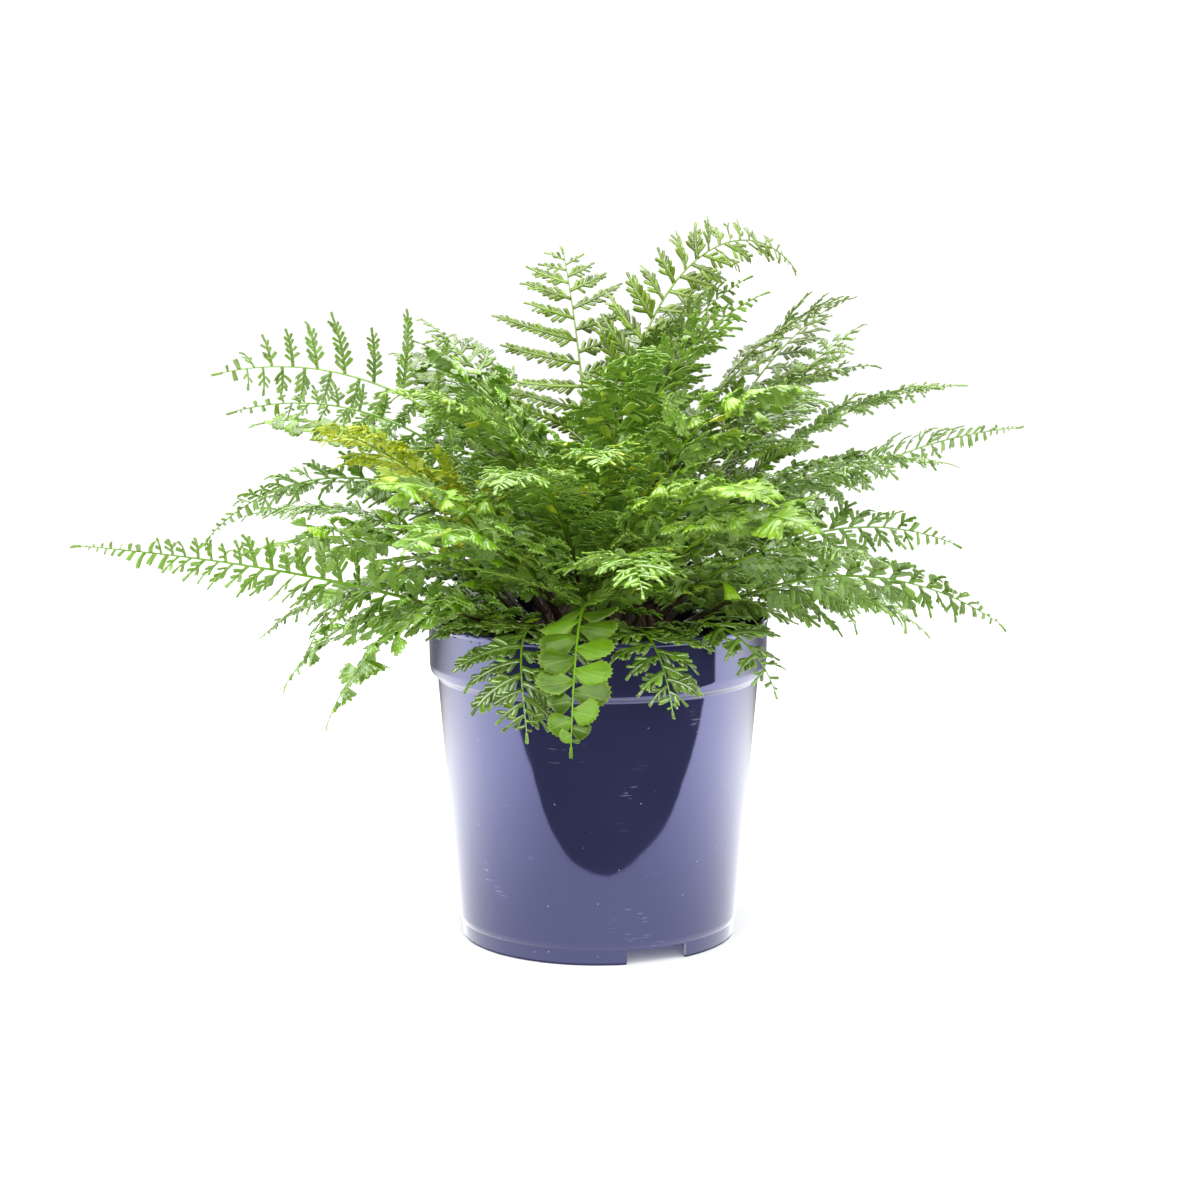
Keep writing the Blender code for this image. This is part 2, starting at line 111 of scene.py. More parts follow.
# Fronds by habit, as they stand in the CAD frame. Each row: azimuth, rise at the crown, angle at
# the tip, length, half width of the CAD blade, roll of the blade, sideways swing, how late it
# bends over and its age, then the cut of its leaves, how much wider than usual they spread, and
# how light they are: 0 and below dark, 0.5 middling, 1 light, above that yellow. That last
# number is partly the frond's own tone and partly painted light and shade: fronds that face the
# lamps are painted darker, and fronds in the shaded core or turned with their underside out
# lighter.
FRONDS = {
    "long": (
        (-143, 28, 9, 0.290, 0.024, 64, 0, 0.5, "mature", "fine", 0.85, 0.5),
        (31, 38, 0, 0.280, 0.024, -60, 0, 1.2, "mature", "fine", 0.85, 0.3),
    ),
    "trailing": (
        (-156, 34, -58, 0.160, 0.030, 25, 0, 1.2, "mature", "lobed", 1.00, 0.5),
        (-136, 34, -64, 0.176, 0.028, 25, 0, 1.2, "mature", "lobed", 1.00, 0.5),
        (-118, 34, -86, 0.158, 0.034, 0, 50, 1.1, "mature", "broad", 1.30, 0.05),
        (-94, 42, -72, 0.186, 0.040, 0, 0, 1.1, "mid", "fan", 1.50, 0.2),
        (-74, 34, -76, 0.126, 0.024, 0, 0, 1.1, "mature", "broad", 1.30, 0.1),
        (-46, 34, -66, 0.108, 0.022, 0, 0, 1.2, "mature", "broad", 1.35, 0.05),
        (-20, 34, -34, 0.200, 0.030, -50, 0, 1.3, "mature", "broad", 1.00, 0.2),
        (8, 32, -44, 0.158, 0.032, 15, 0, 1.2, "mature", "fine", 1.00, 0.5),
        (45, 33, -58, 0.205, 0.034, 0, 0, 1.2, "mature", "broad", 1.00, 0.5),
        (80, 33, -66, 0.190, 0.034, 0, 0, 1.2, "mid", "fine", 1.00, 0.5),
        (112, 33, -60, 0.195, 0.034, 0, 0, 1.2, "mature", "fine", 1.00, 0.5),
        (146, 33, -62, 0.190, 0.034, 0, 0, 1.2, "mature", "broad", 1.00, 0.5),
        (176, 32, -44, 0.160, 0.032, 0, 0, 1.2, "mature", "fine", 1.00, 0.5),
    ),
    "spreading": (
        (4, 46, -24, 0.180, 0.024, -60, 0, 1.2, "mature", "fine", 1.00, 0.35),
        (-168, 46, -20, 0.172, 0.034, 20, 0, 1.2, "mid", "lobed", 1.00, 0.5),
        (-118, 50, -14, 0.190, 0.036, 0, 0, 1.2, "mature", "lobed", 1.00, 0.7),
        (-84, 48, -24, 0.190, 0.034, 0, 0, 1.2, "mature", "broad", 1.00, 0.6),
        (-58, 52, -10, 0.190, 0.036, 0, 0, 1.2, "mid", "lobed", 1.25, 0.5),
        (-42, 46, -16, 0.178, 0.034, -15, 0, 1.2, "mature", "broad", 1.00, 0.2),
        (62, 44, -16, 0.208, 0.036, 0, 0, 1.2, "mature", "fine", 1.00, 0.5),
        (95, 44, -24, 0.192, 0.036, 0, 0, 1.2, "mature", "fine", 1.00, 0.5),
        (128, 44, -16, 0.212, 0.036, 0, 0, 1.2, "mid", "lobed", 1.00, 0.5),
        (160, 44, -18, 0.196, 0.034, 0, 0, 1.2, "mature", "fine", 1.00, 0.5),
    ),
    "arching": (
        (177, 62, -50, 0.230, 0.030, 35, 0, 1.2, "mature", "fine", 0.85, 0.5),
        (18, 60, 0, 0.236, 0.034, -20, 0, 1.2, "mid", "fine", 1.00, 0.3),
        (-152, 58, 18, 0.185, 0.036, 15, 0, 1.2, "young", "curled", 1.15, 1.25),
        (-104, 62, -14, 0.215, 0.036, 0, 0, 1.2, "mature", "comb", 1.00, 0.8),
        (-66, 58, -14, 0.215, 0.036, 0, 0, 1.2, "mid", "lobed", 1.00, 0.7),
        (-14, 62, -14, 0.204, 0.036, -10, 0, 1.2, "mature", "broad", 1.00, 0.3),
        (50, 60, -10, 0.232, 0.036, 0, 0, 1.2, "mature", "fine", 1.00, 0.5),
        (84, 60, -28, 0.215, 0.036, 0, 0, 1.2, "mature", "fine", 1.00, 0.5),
        (120, 60, -14, 0.225, 0.036, 0, 0, 1.2, "mature", "lobed", 1.00, 0.5),
        (148, 56, -14, 0.245, 0.034, 0, 0, 1.2, "mid", "lobed", 1.00, 0.5),
        (-128, 56, 0, 0.185, 0.034, 0, 0, 1.2, "mid", "lobed", 1.00, 0.75),
        (-36, 58, 0, 0.190, 0.034, -15, 0, 1.2, "mature", "broad", 1.00, 0.4),
    ),
    "rising": (
        (172, 76, -14, 0.262, 0.034, 62, 0, 1.05, "mid", "ladder", 1.30, 0.5),
        (-172, 70, -16, 0.232, 0.030, 40, 0, 1.25, "mature", "ladder", 0.80, 0.5),
        (-132, 74, -4, 0.210, 0.036, 0, 0, 1.4, "mid", "broad", 1.00, 0.75),
        (-50, 74, -4, 0.215, 0.036, 0, 0, 1.4, "mid", "lobed", 1.00, 0.7),
        (-4, 76, 0, 0.206, 0.034, -20, 0, 1.4, "young", "fine", 1.00, 0.15),
        (34, 74, 6, 0.245, 0.036, -20, 0, 1.4, "young", "plume", 1.00, 0.1),
        (76, 68, 2, 0.245, 0.036, 0, 0, 1.4, "mature", "broad", 1.00, 0.1),
        (132, 68, 0, 0.220, 0.036, 0, 0, 1.4, "mid", "lobed", 1.00, 0.3),
        (-90, 72, -20, 0.190, 0.034, 0, 0, 1.4, "mature", "comb", 1.00, 0.85),
    ),
    "upright": (
        (46, 86, -46, 0.305, 0.024, 60, 0, 2.2, "young", "fine", 1.20, 0.3),
        (112, 86, 62, 0.200, 0.040, 0, 0, 1.4, "young", "plume", 1.35, 0.2),
        (138, 72, 22, 0.200, 0.034, 0, 0, 1.6, "mid", "fine", 1.00, 0.25),
        (60, 76, 30, 0.215, 0.034, -15, 0, 1.6, "young", "plume", 1.00, 0.1),
        (-75, 84, 10, 0.195, 0.034, 0, 0, 1.6, "mature", "broad", 1.00, 0.9),
        (-146, 78, 20, 0.190, 0.034, 0, 0, 1.6, "mature", "lobed", 1.00, 0.6),
        (-19, 86, 24, 0.205, 0.034, -30, 0, 1.6, "mid", "fine", 1.00, 0.6),
        (4, 88, 30, 0.205, 0.036, -45, 0, 1.6, "young", "fine", 1.00, 0.2),
        (24, 64, 30, 0.210, 0.030, 0, 0, 1.2, "mid", "plume", 1.20, 0.2),
        (44, 58, 22, 0.230, 0.030, 0, 0, 2.0, "young", "plume", 1.20, 0.15),
    ),
}

# How much of its path a frond with a short tip takes up
SHARE_OF = {"trailing_frond_03": 0.87, "trailing_frond_05": 0.90}

# How glossy the leaves of each age are: roughness, and the level of the sheen
GLOSS = {"mature": (0.15, 0.55), "mid": (0.22, 0.44), "young": (0.28, 0.34)}
FAN_GLOSS = (0.34, 0.12)


class Cut(NamedTuple):
    """How a blade is cut, in metres and degrees."""

    pitch: float  # along the rachis, from one pinna to the next on the same side
    angle: float  # of a pinna to the rachis
    curve: float  # how far a pinna swings forward
    lift: float  # of a pinna out of the blade's plane
    droop: float  # how far it bends back from there
    twist: float  # how much pinnae differ in their turn about the midrib
    leaflet: float  # length of a leaflet
    width: float
    gap: float  # from one leaflet to the next on the same side
    taper: float  # the higher, the nearer to the tip the blade stays wide
    lobes: int = 0  # on each fan-shaped leaflet, or 0 for oblong ones
    fans: float = 2.0  # from this share of the blade on, single leaflets take the pinnae's place
    ends: int = 0  # lobes on such a single leaflet


CUTS = {
    "fine": Cut(0.0140, 70, 26, 12, 32, 22, 0.0090, 0.0033, 0.0045, 1.6),
    "broad": Cut(0.0150, 70, 20, 4, 22, 14, 0.0096, 0.0042, 0.0046, 1.7),
    "ladder": Cut(0.0170, 84, 12, 4, 6, 10, 0.0076, 0.0023, 0.0044, 2.6),
    "comb": Cut(0.0125, 62, 16, 4, 14, 6, 0.0084, 0.0033, 0.0036, 1.5),
    "plume": Cut(0.0132, 76, 12, 6, 14, 8, 0.0068, 0.0026, 0.0040, 3.0),
    "lobed": Cut(0.0170, 62, 20, 10, 26, 18, 0.0130, 0.0118, 0.0096, 1.8, 5, 0.74, 5),
    "fan": Cut(0.0140, 74, 12, 34, 12, 8, 0.0084, 0.0034, 0.0038, 1.6, 0, 0.36, 10),
    "curled": Cut(0.0120, 60, 34, 16, 46, 24, 0.0078, 0.0030, 0.0038, 1.5),
}


# ---------------------------------------------------------------------------------------------
# Settings


def colour_of(name, description, default):
    return FloatVectorProperty(name=name, description=description, default=default,
                               subtype="COLOR")


def amount_of(name, description, default, unit="NONE"):
    return FloatProperty(name=name, description=description, default=default, unit=unit)


class PotSettings(PropertyGroup):
    """The nursery pot."""

    colour: colour_of("Plastic", "Colour in the depth of the plastic", (0.017, 0.018, 0.047))
    sheen: colour_of("Sheen", "Tint of the light it throws back", (0.51, 0.54, 1.0))
    roughness: amount_of("Roughness", "Of the moulded surface", 0.06)


class SoilSettings(PropertyGroup):
    """The potting soil."""

    colour: colour_of("Peat", "Colour of the moist peat", (0.030, 0.018, 0.010))
    bark: colour_of("Bark", "Colour of the bark chips", (0.085, 0.045, 0.022))
    crumbs: IntProperty(name="Crumbs", description="Loose crumbs on the soil", default=900)


class CrownSettings(PropertyGroup):
    """The scaly crown that the fronds grow from."""

    colour: colour_of("Brown", "Colour of the scales", (0.050, 0.024, 0.012))
    scales: IntProperty(name="Scales", description="Papery scales on the crown", default=620)
    stubs: IntProperty(name="Stubs", description="Old stipe bases", default=34)


class FrondSettings(PropertyGroup):
    """The fronds."""

    mature: colour_of("Mature", "Colour of a grown frond", (0.116, 0.250, 0.004))
    mid: colour_of("Half grown", "Colour of a half-grown frond", (0.156, 0.300, 0.006))
    # Darker than the half-grown colour: painted shade that tones down the young fronds at the top,
    # which the overhead light strikes.
    young: colour_of("Young", "Colour of a young frond", (0.132, 0.220, 0.008))
    stipe: colour_of("Stipe", "Colour of the stipe's foot", (0.045, 0.022, 0.016))
    leaf: amount_of("Leaf thickness", "Thickness of a leaflet", 0.00036, "LENGTH")
    stipe_radius: amount_of("Stipe radius", "Radius at the crown", 0.0013, "LENGTH")


class StageSettings(PropertyGroup):
    """The floor, the light and the camera."""

    floor: colour_of("Floor", "Colour of the floor", (0.90, 0.90, 0.905))
    sky: amount_of("Sky", "Strength of the light from all round", 1.16)
    key: amount_of("Key light", "Power of the large overhead softbox", 25.0, "POWER")
    sides: amount_of("Side lights", "Power of each side softbox", 16.0, "POWER")
    front: amount_of("Front light", "Power of the softbox beside the camera", 16.0, "POWER")
    table: amount_of("Table glow", "Light of the table top in the gloss", 5.2)
    tent: amount_of("Tent", "Light of the tent's walls in the gloss", 5.0)
    lens: amount_of("Lens", "Focal length on a 36 mm sensor, in mm", 89.76)
    distance: amount_of("Camera distance", "From the pot's axis", 1.65, "LENGTH")
    camera_height: amount_of("Camera height", "Over the floor", 0.446, "LENGTH")
    pitch: amount_of("Camera pitch", "How far it looks down", math.radians(8.85), "ROTATION")


class FernSettings(PropertyGroup):
    """All settings of the potted fern."""

    pot: PointerProperty(type=PotSettings)
    soil: PointerProperty(type=SoilSettings)
    crown: PointerProperty(type=CrownSettings)
    fronds: PointerProperty(type=FrondSettings)
    stage: PointerProperty(type=StageSettings)


# ---------------------------------------------------------------------------------------------
# Materials


class Value:
    """A node's output that sums and products can be written with."""

    def __init__(self, finish, socket):
        self.finish = finish
        self.socket = socket

    def math(self, operation, *values):
        return self.finish.add("ShaderNodeMath", {"operation": operation}, dict(enumerate(values)))

    def __add__(self, other):
        return self.math("ADD", self, other)

    def __sub__(self, other):
        return self.math("SUBTRACT", self, other)

    def __mul__(self, other):
        return self.math("MULTIPLY", self, other)

    def __truediv__(self, other):
        return self.math("DIVIDE", self, other)

    def __pow__(self, other):
        return self.math("POWER", self, other)

    def __gt__(self, other):
        return self.math("GREATER_THAN", self, other)

    def __radd__(self, other):
        return self.math("ADD", other, self)

    def __rsub__(self, other):
        return self.math("SUBTRACT", other, self)

    def __rmul__(self, other):
        return self.math("MULTIPLY", other, self)

    def __abs__(self):
        return self.math("ABSOLUTE", self)

    def between(self, low, high):
        """0 at low, 1 at high, and eased in between."""
        return self.finish.add("ShaderNodeMapRange", {"interpolation_type": "SMOOTHSTEP"},
                               {"Value": self, "From Min": low, "From Max": high})


class Finish:
    """A node tree that is written one node at a time."""

    def __init__(self, owner):
        owner.use_nodes = True
        self.owner = owner
        self.tree = owner.node_tree
        self.tree.nodes.clear()

    def add(self, kind, settings=None, inputs=None, output=0):
        node = self.tree.nodes.new(kind)
        for name, value in (settings or {}).items():
            setattr(node, name, value)
        for name, value in (inputs or {}).items():
            if isinstance(value, Value):
                self.tree.links.new(value.socket, node.inputs[name])
            else:
                node.inputs[name].default_value = value
        return Value(self, node.outputs[output] if len(node.outputs) else None)

    def place(self):
        return self.add("ShaderNodeTexCoord", output="Object")

    def attribute(self, name, output="Color"):
        return self.add("ShaderNodeAttribute", {"attribute_name": name}, output=output)

    def scaled(self, vector, scale):
        return self.add("ShaderNodeVectorMath", {"operation": "MULTIPLY"}, {0: vector, 1: scale})

    def noise(self, vector, scale, detail=2.0, rough=0.5):
        return self.add("ShaderNodeTexNoise", {},
                        {"Vector": vector, "Scale": scale, "Detail": detail, "Roughness": rough})

    def cells(self, vector, scale, output="Distance"):
        return self.add("ShaderNodeTexVoronoi", {}, {"Vector": vector, "Scale": scale}, output)

    def part(self, colour, channel):
        return self.add("ShaderNodeSeparateColor", {}, {"Color": colour}, channel)

    def axis(self, vector, name):
        return self.add("ShaderNodeSeparateXYZ", {}, {0: vector}, name)

    def mix(self, factor, first, second):
        first, second = [c if isinstance(c, Value) else (*c, 1.0) for c in (first, second)]
        return self.add("ShaderNodeMix", {"data_type": "RGBA"},
                        {0: factor, 6: first, 7: second}, 2)

    def bump(self, height, strength, depth):
        return self.add("ShaderNodeBump", {},
                        {"Height": height, "Strength": strength, "Distance": depth})

    def plastic(self, inputs):
        return self.add("ShaderNodeBsdfPrincipled", {}, inputs)

    def light(self, strength, colour=(1.0, 1.0, 1.0, 1.0)):
        return self.add("ShaderNodeEmission", {}, {"Color": colour, "Strength": strength})

    def end(self, surface, kind="ShaderNodeOutputMaterial"):
        self.add(kind, {}, {"Surface": surface})
        return self.owner


def tint(colour, share):
    """The colour, brighter or darker."""
    return tuple(min(1.0, c * share) for c in colour)


def pot_finish(pot):
    """Glossy navy plastic: faint mould streaks, a few scuffs and specks of dust."""
    finish = Finish(bpy.data.materials.new("pot_plastic"))
    place = finish.place()
    haze = finish.noise(place, 16.0, 3.0)
    streaks = finish.noise(finish.scaled(place, (1.0, 1.0, 0.05)), 420.0, 2.0)
    scuff_run = finish.noise(finish.scaled(place, (0.10, 0.10, 1.0)), 900.0, 2.0)
    scuff_patch = finish.noise(place, 34.0, 1.0)
    scuffs = scuff_run.between(0.62, 0.70) * scuff_patch.between(0.60, 0.70)
    speck_size = finish.part(finish.cells(place, 260.0, "Color"), "Red")
    specks = finish.cells(place, 260.0).between(0.13, 0.06) * (speck_size > 0.955)
    wear = 1 - (1 - scuffs * 0.35) * (1 - specks * 0.75)
    colour = finish.mix(haze, tint(pot.colour, 0.82), tint(pot.colour, 1.18))
    colour = finish.mix(wear, colour, (0.30, 0.31, 0.42))
    rough = pot.roughness - 0.02 + haze * 0.02 + streaks * 0.02 + wear * 0.35
    waves = finish.noise(finish.scaled(place, (1.0, 1.0, 0.6)), 70.0, 1.0)
    height = streaks * 0.2 + waves * 2.0 + specks
    bump = finish.bump(height, 0.05, 0.0004)
    surface = finish.plastic({
        "Base Color": colour, "Roughness": rough, "Normal": bump,
        "IOR": 1.5, "Specular IOR Level": 0.92, "Specular Tint": (*pot.sheen, 1.0)})
    return finish.end(surface)


def soil_finish(soil):
    """Moist peat with paler crumbs of bark."""
    finish = Finish(bpy.data.materials.new("potting_soil"))
    place = finish.place()
    grain = finish.noise(place, 420.0, 5.0, 0.65)
    clumps = finish.noise(place, 90.0, 3.0)
    kind = finish.attribute("crumb", "Fac")
    colour = finish.mix(grain, tint(soil.colour, 0.45), tint(soil.colour, 1.7))
    colour = finish.mix(kind * (0.4 + 0.6 * grain), colour, tuple(soil.bark))
    rough = 0.72 + 0.25 * grain
    bump = finish.bump(grain * 0.7 + clumps, 0.7, 0.0012)
    return finish.end(finish.plastic({"Base Color": colour, "Roughness": rough, "Normal": bump,
                                      "Specular IOR Level": 0.3}))


def crown_finish(crown):
    """Papery, streaked brown scales."""
    finish = Finish(bpy.data.materials.new("crown_scales"))
    place = finish.place()
    tone = finish.part(finish.attribute("leaf"), "Red")
    fibre = finish.noise(finish.scaled(finish.attribute("spot", "Vector"), (1.0, 0.08, 1.0)),
                         2600.0, 3.0)
    blotch = finish.noise(place, 160.0, 3.0)
    colour = finish.mix(tone, tint(crown.colour, 0.35), tint(crown.colour, 1.9))
    colour = finish.mix(blotch * 0.5, colour, (0.05, 0.045, 0.014))
    rough = 0.58 + 0.3 * fibre
    bump = finish.bump(fibre + blotch * 0.5, 0.5, 0.0004)
    return finish.end(finish.plastic({"Base Color": colour, "Roughness": rough, "Normal": bump}))


def leaf_finish(name, colour, stipe, gloss, sheen):
    """A leathery leaf: glossy above, paler and duller below, with fine veins and a pale edge."""
    finish = Finish(bpy.data.materials.new(name))
    marks = finish.attribute("leaf")
    tone = finish.part(marks, "Red")
    edge = finish.part(marks, "Green")
    under = finish.part(marks, "Blue")
    stem = finish.attribute("leaf", "Alpha")
    spot = finish.attribute("spot", "Vector")
    veins = finish.noise(finish.scaled(spot, (1.0, 0.16, 1.0)), 1900.0, 2.0)
    mottle = finish.noise(finish.place(), 110.0, 3.0)
    across = finish.axis(spot, "X")
    midrib = abs(across).between(0.00032, 0.00005)
    fanned = across / (finish.axis(spot, "Y") + 0.003)
    rays = finish.noise(finish.add("ShaderNodeCombineXYZ", {}, {"X": fanned}), 13.0, 0.0)
    # The red mark carries each frond's lightness: partly its own tone, partly painted light and
    # shade.
    share = tone * 0.80 + mottle * 0.40 + veins * 0.10 + rays * 0.12 - 0.26
    green = finish.mix(share, tint(colour, 0.32), tint(colour, 1.95))
    green = finish.mix(edge ** 4.0 * 0.26, green, (0.42, 0.60, 0.08))
    green = finish.mix(midrib * 0.30, green, (0.30, 0.46, 0.09))
    below = finish.mix(0.50, green, (0.17, 0.29, 0.06))
    green = finish.mix(under * 0.85, green, below)
    green = finish.mix(tone.between(0.95, 1.25), green, (0.46, 0.54, 0.02))
    green = finish.mix(stem.between(0.15, 0.95), green, tuple(stipe))
    rough = gloss + under * 0.22 + (mottle - 0.5) * 0.16 + veins * 0.08
    bump = finish.bump(veins * 0.4 + rays * 0.2 - midrib, 0.35, 0.00022)
    front = finish.plastic({"Base Color": green, "Roughness": rough, "Normal": bump,
                            "IOR": 1.5, "Specular IOR Level": sheen,
                            "Coat Weight": (0.40 - under * 0.33) * sheen,
                            "Coat Roughness": 0.12})
    glow = tuple((a + b) / 2 for a, b in zip(colour, (0.44, 0.66, 0.06)))
    through = finish.add("ShaderNodeBsdfTranslucent", {},
                         {"Color": (*glow, 1.0), "Normal": bump})
    surface = finish.add("ShaderNodeMixShader", {}, {0: 0.14, 1: front, 2: through})
    return finish.end(surface)


# ---------------------------------------------------------------------------------------------
# Meshes


def unit(vectors):
    """The vectors at unit length."""
    return vectors / np.maximum(np.linalg.norm(vectors, axis=-1, keepdims=True), 1e-9)


def sampled(at, shares, tables):
    """Each table of vectors, read at new shares of the way along it."""
    return [np.stack([np.interp(at, shares, table[:, k]) for k in range(3)], axis=1)
            for table in tables]


def per_leaflet(*values):
    """Values with one number a leaflet, ready to go with its rows and columns."""
    return [np.asarray(value).reshape(-1, 1, 1) for value in values]


def in_scene(name, data):
    """A new object in the scene."""
    thing = bpy.data.objects.new(name, data)
    bpy.context.scene.collection.objects.link(thing)
    return thing


def new_piece(name, mesh, material, node):
    """A piece in the scene that rides on the root body and stands for its CAD node."""
    piece = in_scene(name, mesh)
    mesh.materials.append(material)
    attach(piece, "root")
    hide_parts(node)


class Foliage:
    """Collects thin blades and round stalks, and makes one mesh of them."""

    def __init__(self):
        self.points = []
        self.quads = []
        self.marks = []
        self.spots = []
        self.flat = []
        self.count = 0

    def keep(self, points, quads, marks, spots, flat):
        self.points.append(points.reshape(-1, 3))
        self.quads.append(quads.reshape(-1, 4) + self.count)
        self.marks.append(marks.reshape(-1, 4))
        self.spots.append(spots.reshape(-1, 3))
        self.flat.append(flat.ravel())
        self.count += points.reshape(-1, 3).shape[0]

    def blades(self, grid, half, tone, edge, stem, spot):
        """Closed blades over grids of points: (blade, row, column, xyz)."""
        count, rows, columns = grid.shape[:3]
        normal = unit(np.cross(np.gradient(grid, axis=2), np.gradient(grid, axis=1)))
        half = np.asarray(half).reshape(-1, 1, 1, 1)
        points = np.stack([grid + normal * half, grid - normal * half], axis=1)
        under = np.zeros((count, 2, rows, columns))
        under[:, 1] = 1.0
        sheet = (count, 2, rows, columns)
        marks = np.stack([np.broadcast_to(np.asarray(tone).reshape(-1, 1, 1, 1), sheet),
                          np.broadcast_to(edge, sheet), under, np.full(sheet, stem)], axis=-1)
        spots = np.broadcast_to(spot[:, None], points.shape)
        number = np.arange(2 * rows * columns).reshape(2, rows, columns)
        top, low = number
        above = np.stack([top[:-1, :-1], top[:-1, 1:], top[1:, 1:], top[1:, :-1]], -1)
        below = np.stack([low[:-1, :-1], low[1:, :-1], low[1:, 1:], low[:-1, 1:]], -1)
        border = np.concatenate([top[0], top[1:, -1], top[-1, -2::-1], top[-2:0:-1, 0]])
        after = np.roll(border, -1)
        shift = rows * columns
        rim = np.stack([border, border + shift, after + shift, after], -1)
        quads = np.concatenate([above.reshape(-1, 4), below.reshape(-1, 4), rim])
        flat = np.zeros(len(quads), bool)
        flat[-len(rim):] = True
        starts = np.arange(count)[:, None, None] * (2 * shift)
        self.keep(points, quads[None] + starts, marks, spots, np.tile(flat, count))

    def stalk(self, path, radius, tone, stem):
        """A round stalk along a path, closed at both ends."""
        sides = STALK_SIDES
        along = unit(np.gradient(path, axis=0))
        aside = unit(np.cross(along, (0.31, 0.22, 0.92)))
        other = np.cross(along, aside)
        turn = np.arange(sides) * math.tau / sides
        radius = np.broadcast_to(radius, len(path))[:, None, None]
        points = path[:, None] + radius * (aside[:, None] * np.cos(turn)[None, :, None]
                                           + other[:, None] * np.sin(turn)[None, :, None])
        rings = np.arange(len(path) * sides).reshape(len(path), sides)
        around = np.roll(rings, -1, axis=1)
        walls = np.stack([rings[:-1], around[:-1], around[1:], rings[1:]], -1).reshape(-1, 4)
        caps = np.array([(0, 3, 2, 1), (0, 7, 4, 3), (4, 7, 6, 5)])
        quads = np.concatenate([walls, caps, rings[-1, 0] + caps[:, ::-1]])
        marks = np.zeros((len(path), sides, 4))
        marks[..., 0] = tone
        marks[..., 3] = np.broadcast_to(stem, len(path))[:, None]
        spots = np.zeros((len(path), sides, 3))
        spots[..., 0] = 0.002
        spots[..., 1] = np.arange(len(path))[:, None] * 0.004
        flat = np.zeros(len(quads), bool)
        flat[-6:] = True
        self.keep(points, quads, marks, spots, flat)

    def mesh(self, name):
        points = np.concatenate(self.points).astype(np.float32)
        quads = np.concatenate(self.quads).astype(np.int32)
        mesh = bpy.data.meshes.new(name)
        mesh.vertices.add(len(points))
        mesh.vertices.foreach_set("co", points.ravel())
        mesh.loops.add(quads.size)
        mesh.loops.foreach_set("vertex_index", quads.ravel())
        mesh.polygons.add(len(quads))
        mesh.polygons.foreach_set("loop_start", np.arange(0, quads.size, 4, dtype=np.int32))
        mesh.update(calc_edges=True)
        marks = mesh.attributes.new("leaf", "FLOAT_COLOR", "POINT")
        marks.data.foreach_set("color", np.concatenate(self.marks).astype(np.float32).ravel())
        spots = mesh.attributes.new("spot", "FLOAT_VECTOR", "POINT")
        spots.data.foreach_set("vector", np.concatenate(self.spots).astype(np.float32).ravel())
        flat = mesh.attributes.new("sharp_face", "BOOLEAN", "FACE")
        flat.data.foreach_set("value", np.concatenate(self.flat))
        mesh.validate()
        return mesh


def set_in_place(local, origin, along, normal):
    """Blades drawn in their own frame, set at the origins: (blade, row, column, xyz)."""
    side = np.cross(along, normal)
    axes = np.stack([side, along, normal], axis=1)
    return origin[:, None, None] + np.einsum("nrci,nij->nrcj", local, axes)


OBLONG_ALONG = np.array([[0.0, 0.0, 0.0], [0.22, 0.22, 0.22], [0.48, 0.48, 0.48],
                         [0.72, 0.72, 0.72], [0.90, 0.88, 0.87], [1.0, 0.89, 0.95]])
OBLONG_WIDTH = np.array([0.86, 0.72, 0.90, 1.0, 0.92, 0.52])


def oblong_leaflets(length, width, bend, arch, cup):
    """Narrow leaflets with a round, notched end. Every argument has one value a leaflet."""
    length, width, bend, arch, cup = per_leaflet(length, width, bend, arch, cup)
    far = OBLONG_ALONG[None]
    x = width / 2 * OBLONG_WIDTH[None, :, None] * ACROSS + bend * length * far ** 2
    y = length * far * (1 - 0.12 * abs(bend))
    z = arch * length * far ** 2 - cup * width * abs(ACROSS)
    edge = np.maximum(np.abs(ACROSS)[None], (np.arange(6) == 5)[:, None] * 1.0)
    return np.stack(np.broadcast_arrays(x, y, z), axis=-1), edge


FAN_COLUMNS = 21
FAN_OPENING = np.radians(62)  # to each side
FAN_ROWS = np.array([0.0, 0.28, 0.55, 0.80, 1.0])


def fan_leaflets(length, width, bend, arch, cup, lobes):
    """Fan-shaped leaflets on a short stalk: deeply cut when the lobes are few, else scalloped."""
    across = np.linspace(-1, 1, FAN_COLUMNS)
    length, width, bend, arch, cup = per_leaflet(length, width, bend, arch, cup)
    far = FAN_ROWS[None, :, None]
    cut = (0.5 - 0.5 * np.cos(across * math.pi * lobes)) * (1.9 / lobes - 0.12) * far ** 3
    spread = FAN_OPENING * across
    reach = 0.14 + 0.86 * far * (1 - cut) * (1 - 0.20 * across ** 2 - 0.05 * across)
    x = width * 0.60 * reach * np.sin(spread) * far ** 0.35 / np.sin(FAN_OPENING) * 1.12
    x = x + bend * length * far ** 2 + across * 0.0004
    y = length * reach * (0.30 + 0.70 * np.cos(spread)) - length * 0.14
    ripple = (0.052 - 0.0044 * lobes) * np.sin(across * math.pi * min(lobes, 5)) * far ** 2
    z = length * (arch * far ** 2 + ripple) - cup * width * np.abs(across) ** 1.6 * far
    edge = np.maximum(np.abs(across)[None] ** 3, (FAN_ROWS == 1.0)[:, None] * 1.0)
    return np.stack(np.broadcast_arrays(x, y, z), axis=-1), edge


# ---------------------------------------------------------------------------------------------
# Fronds


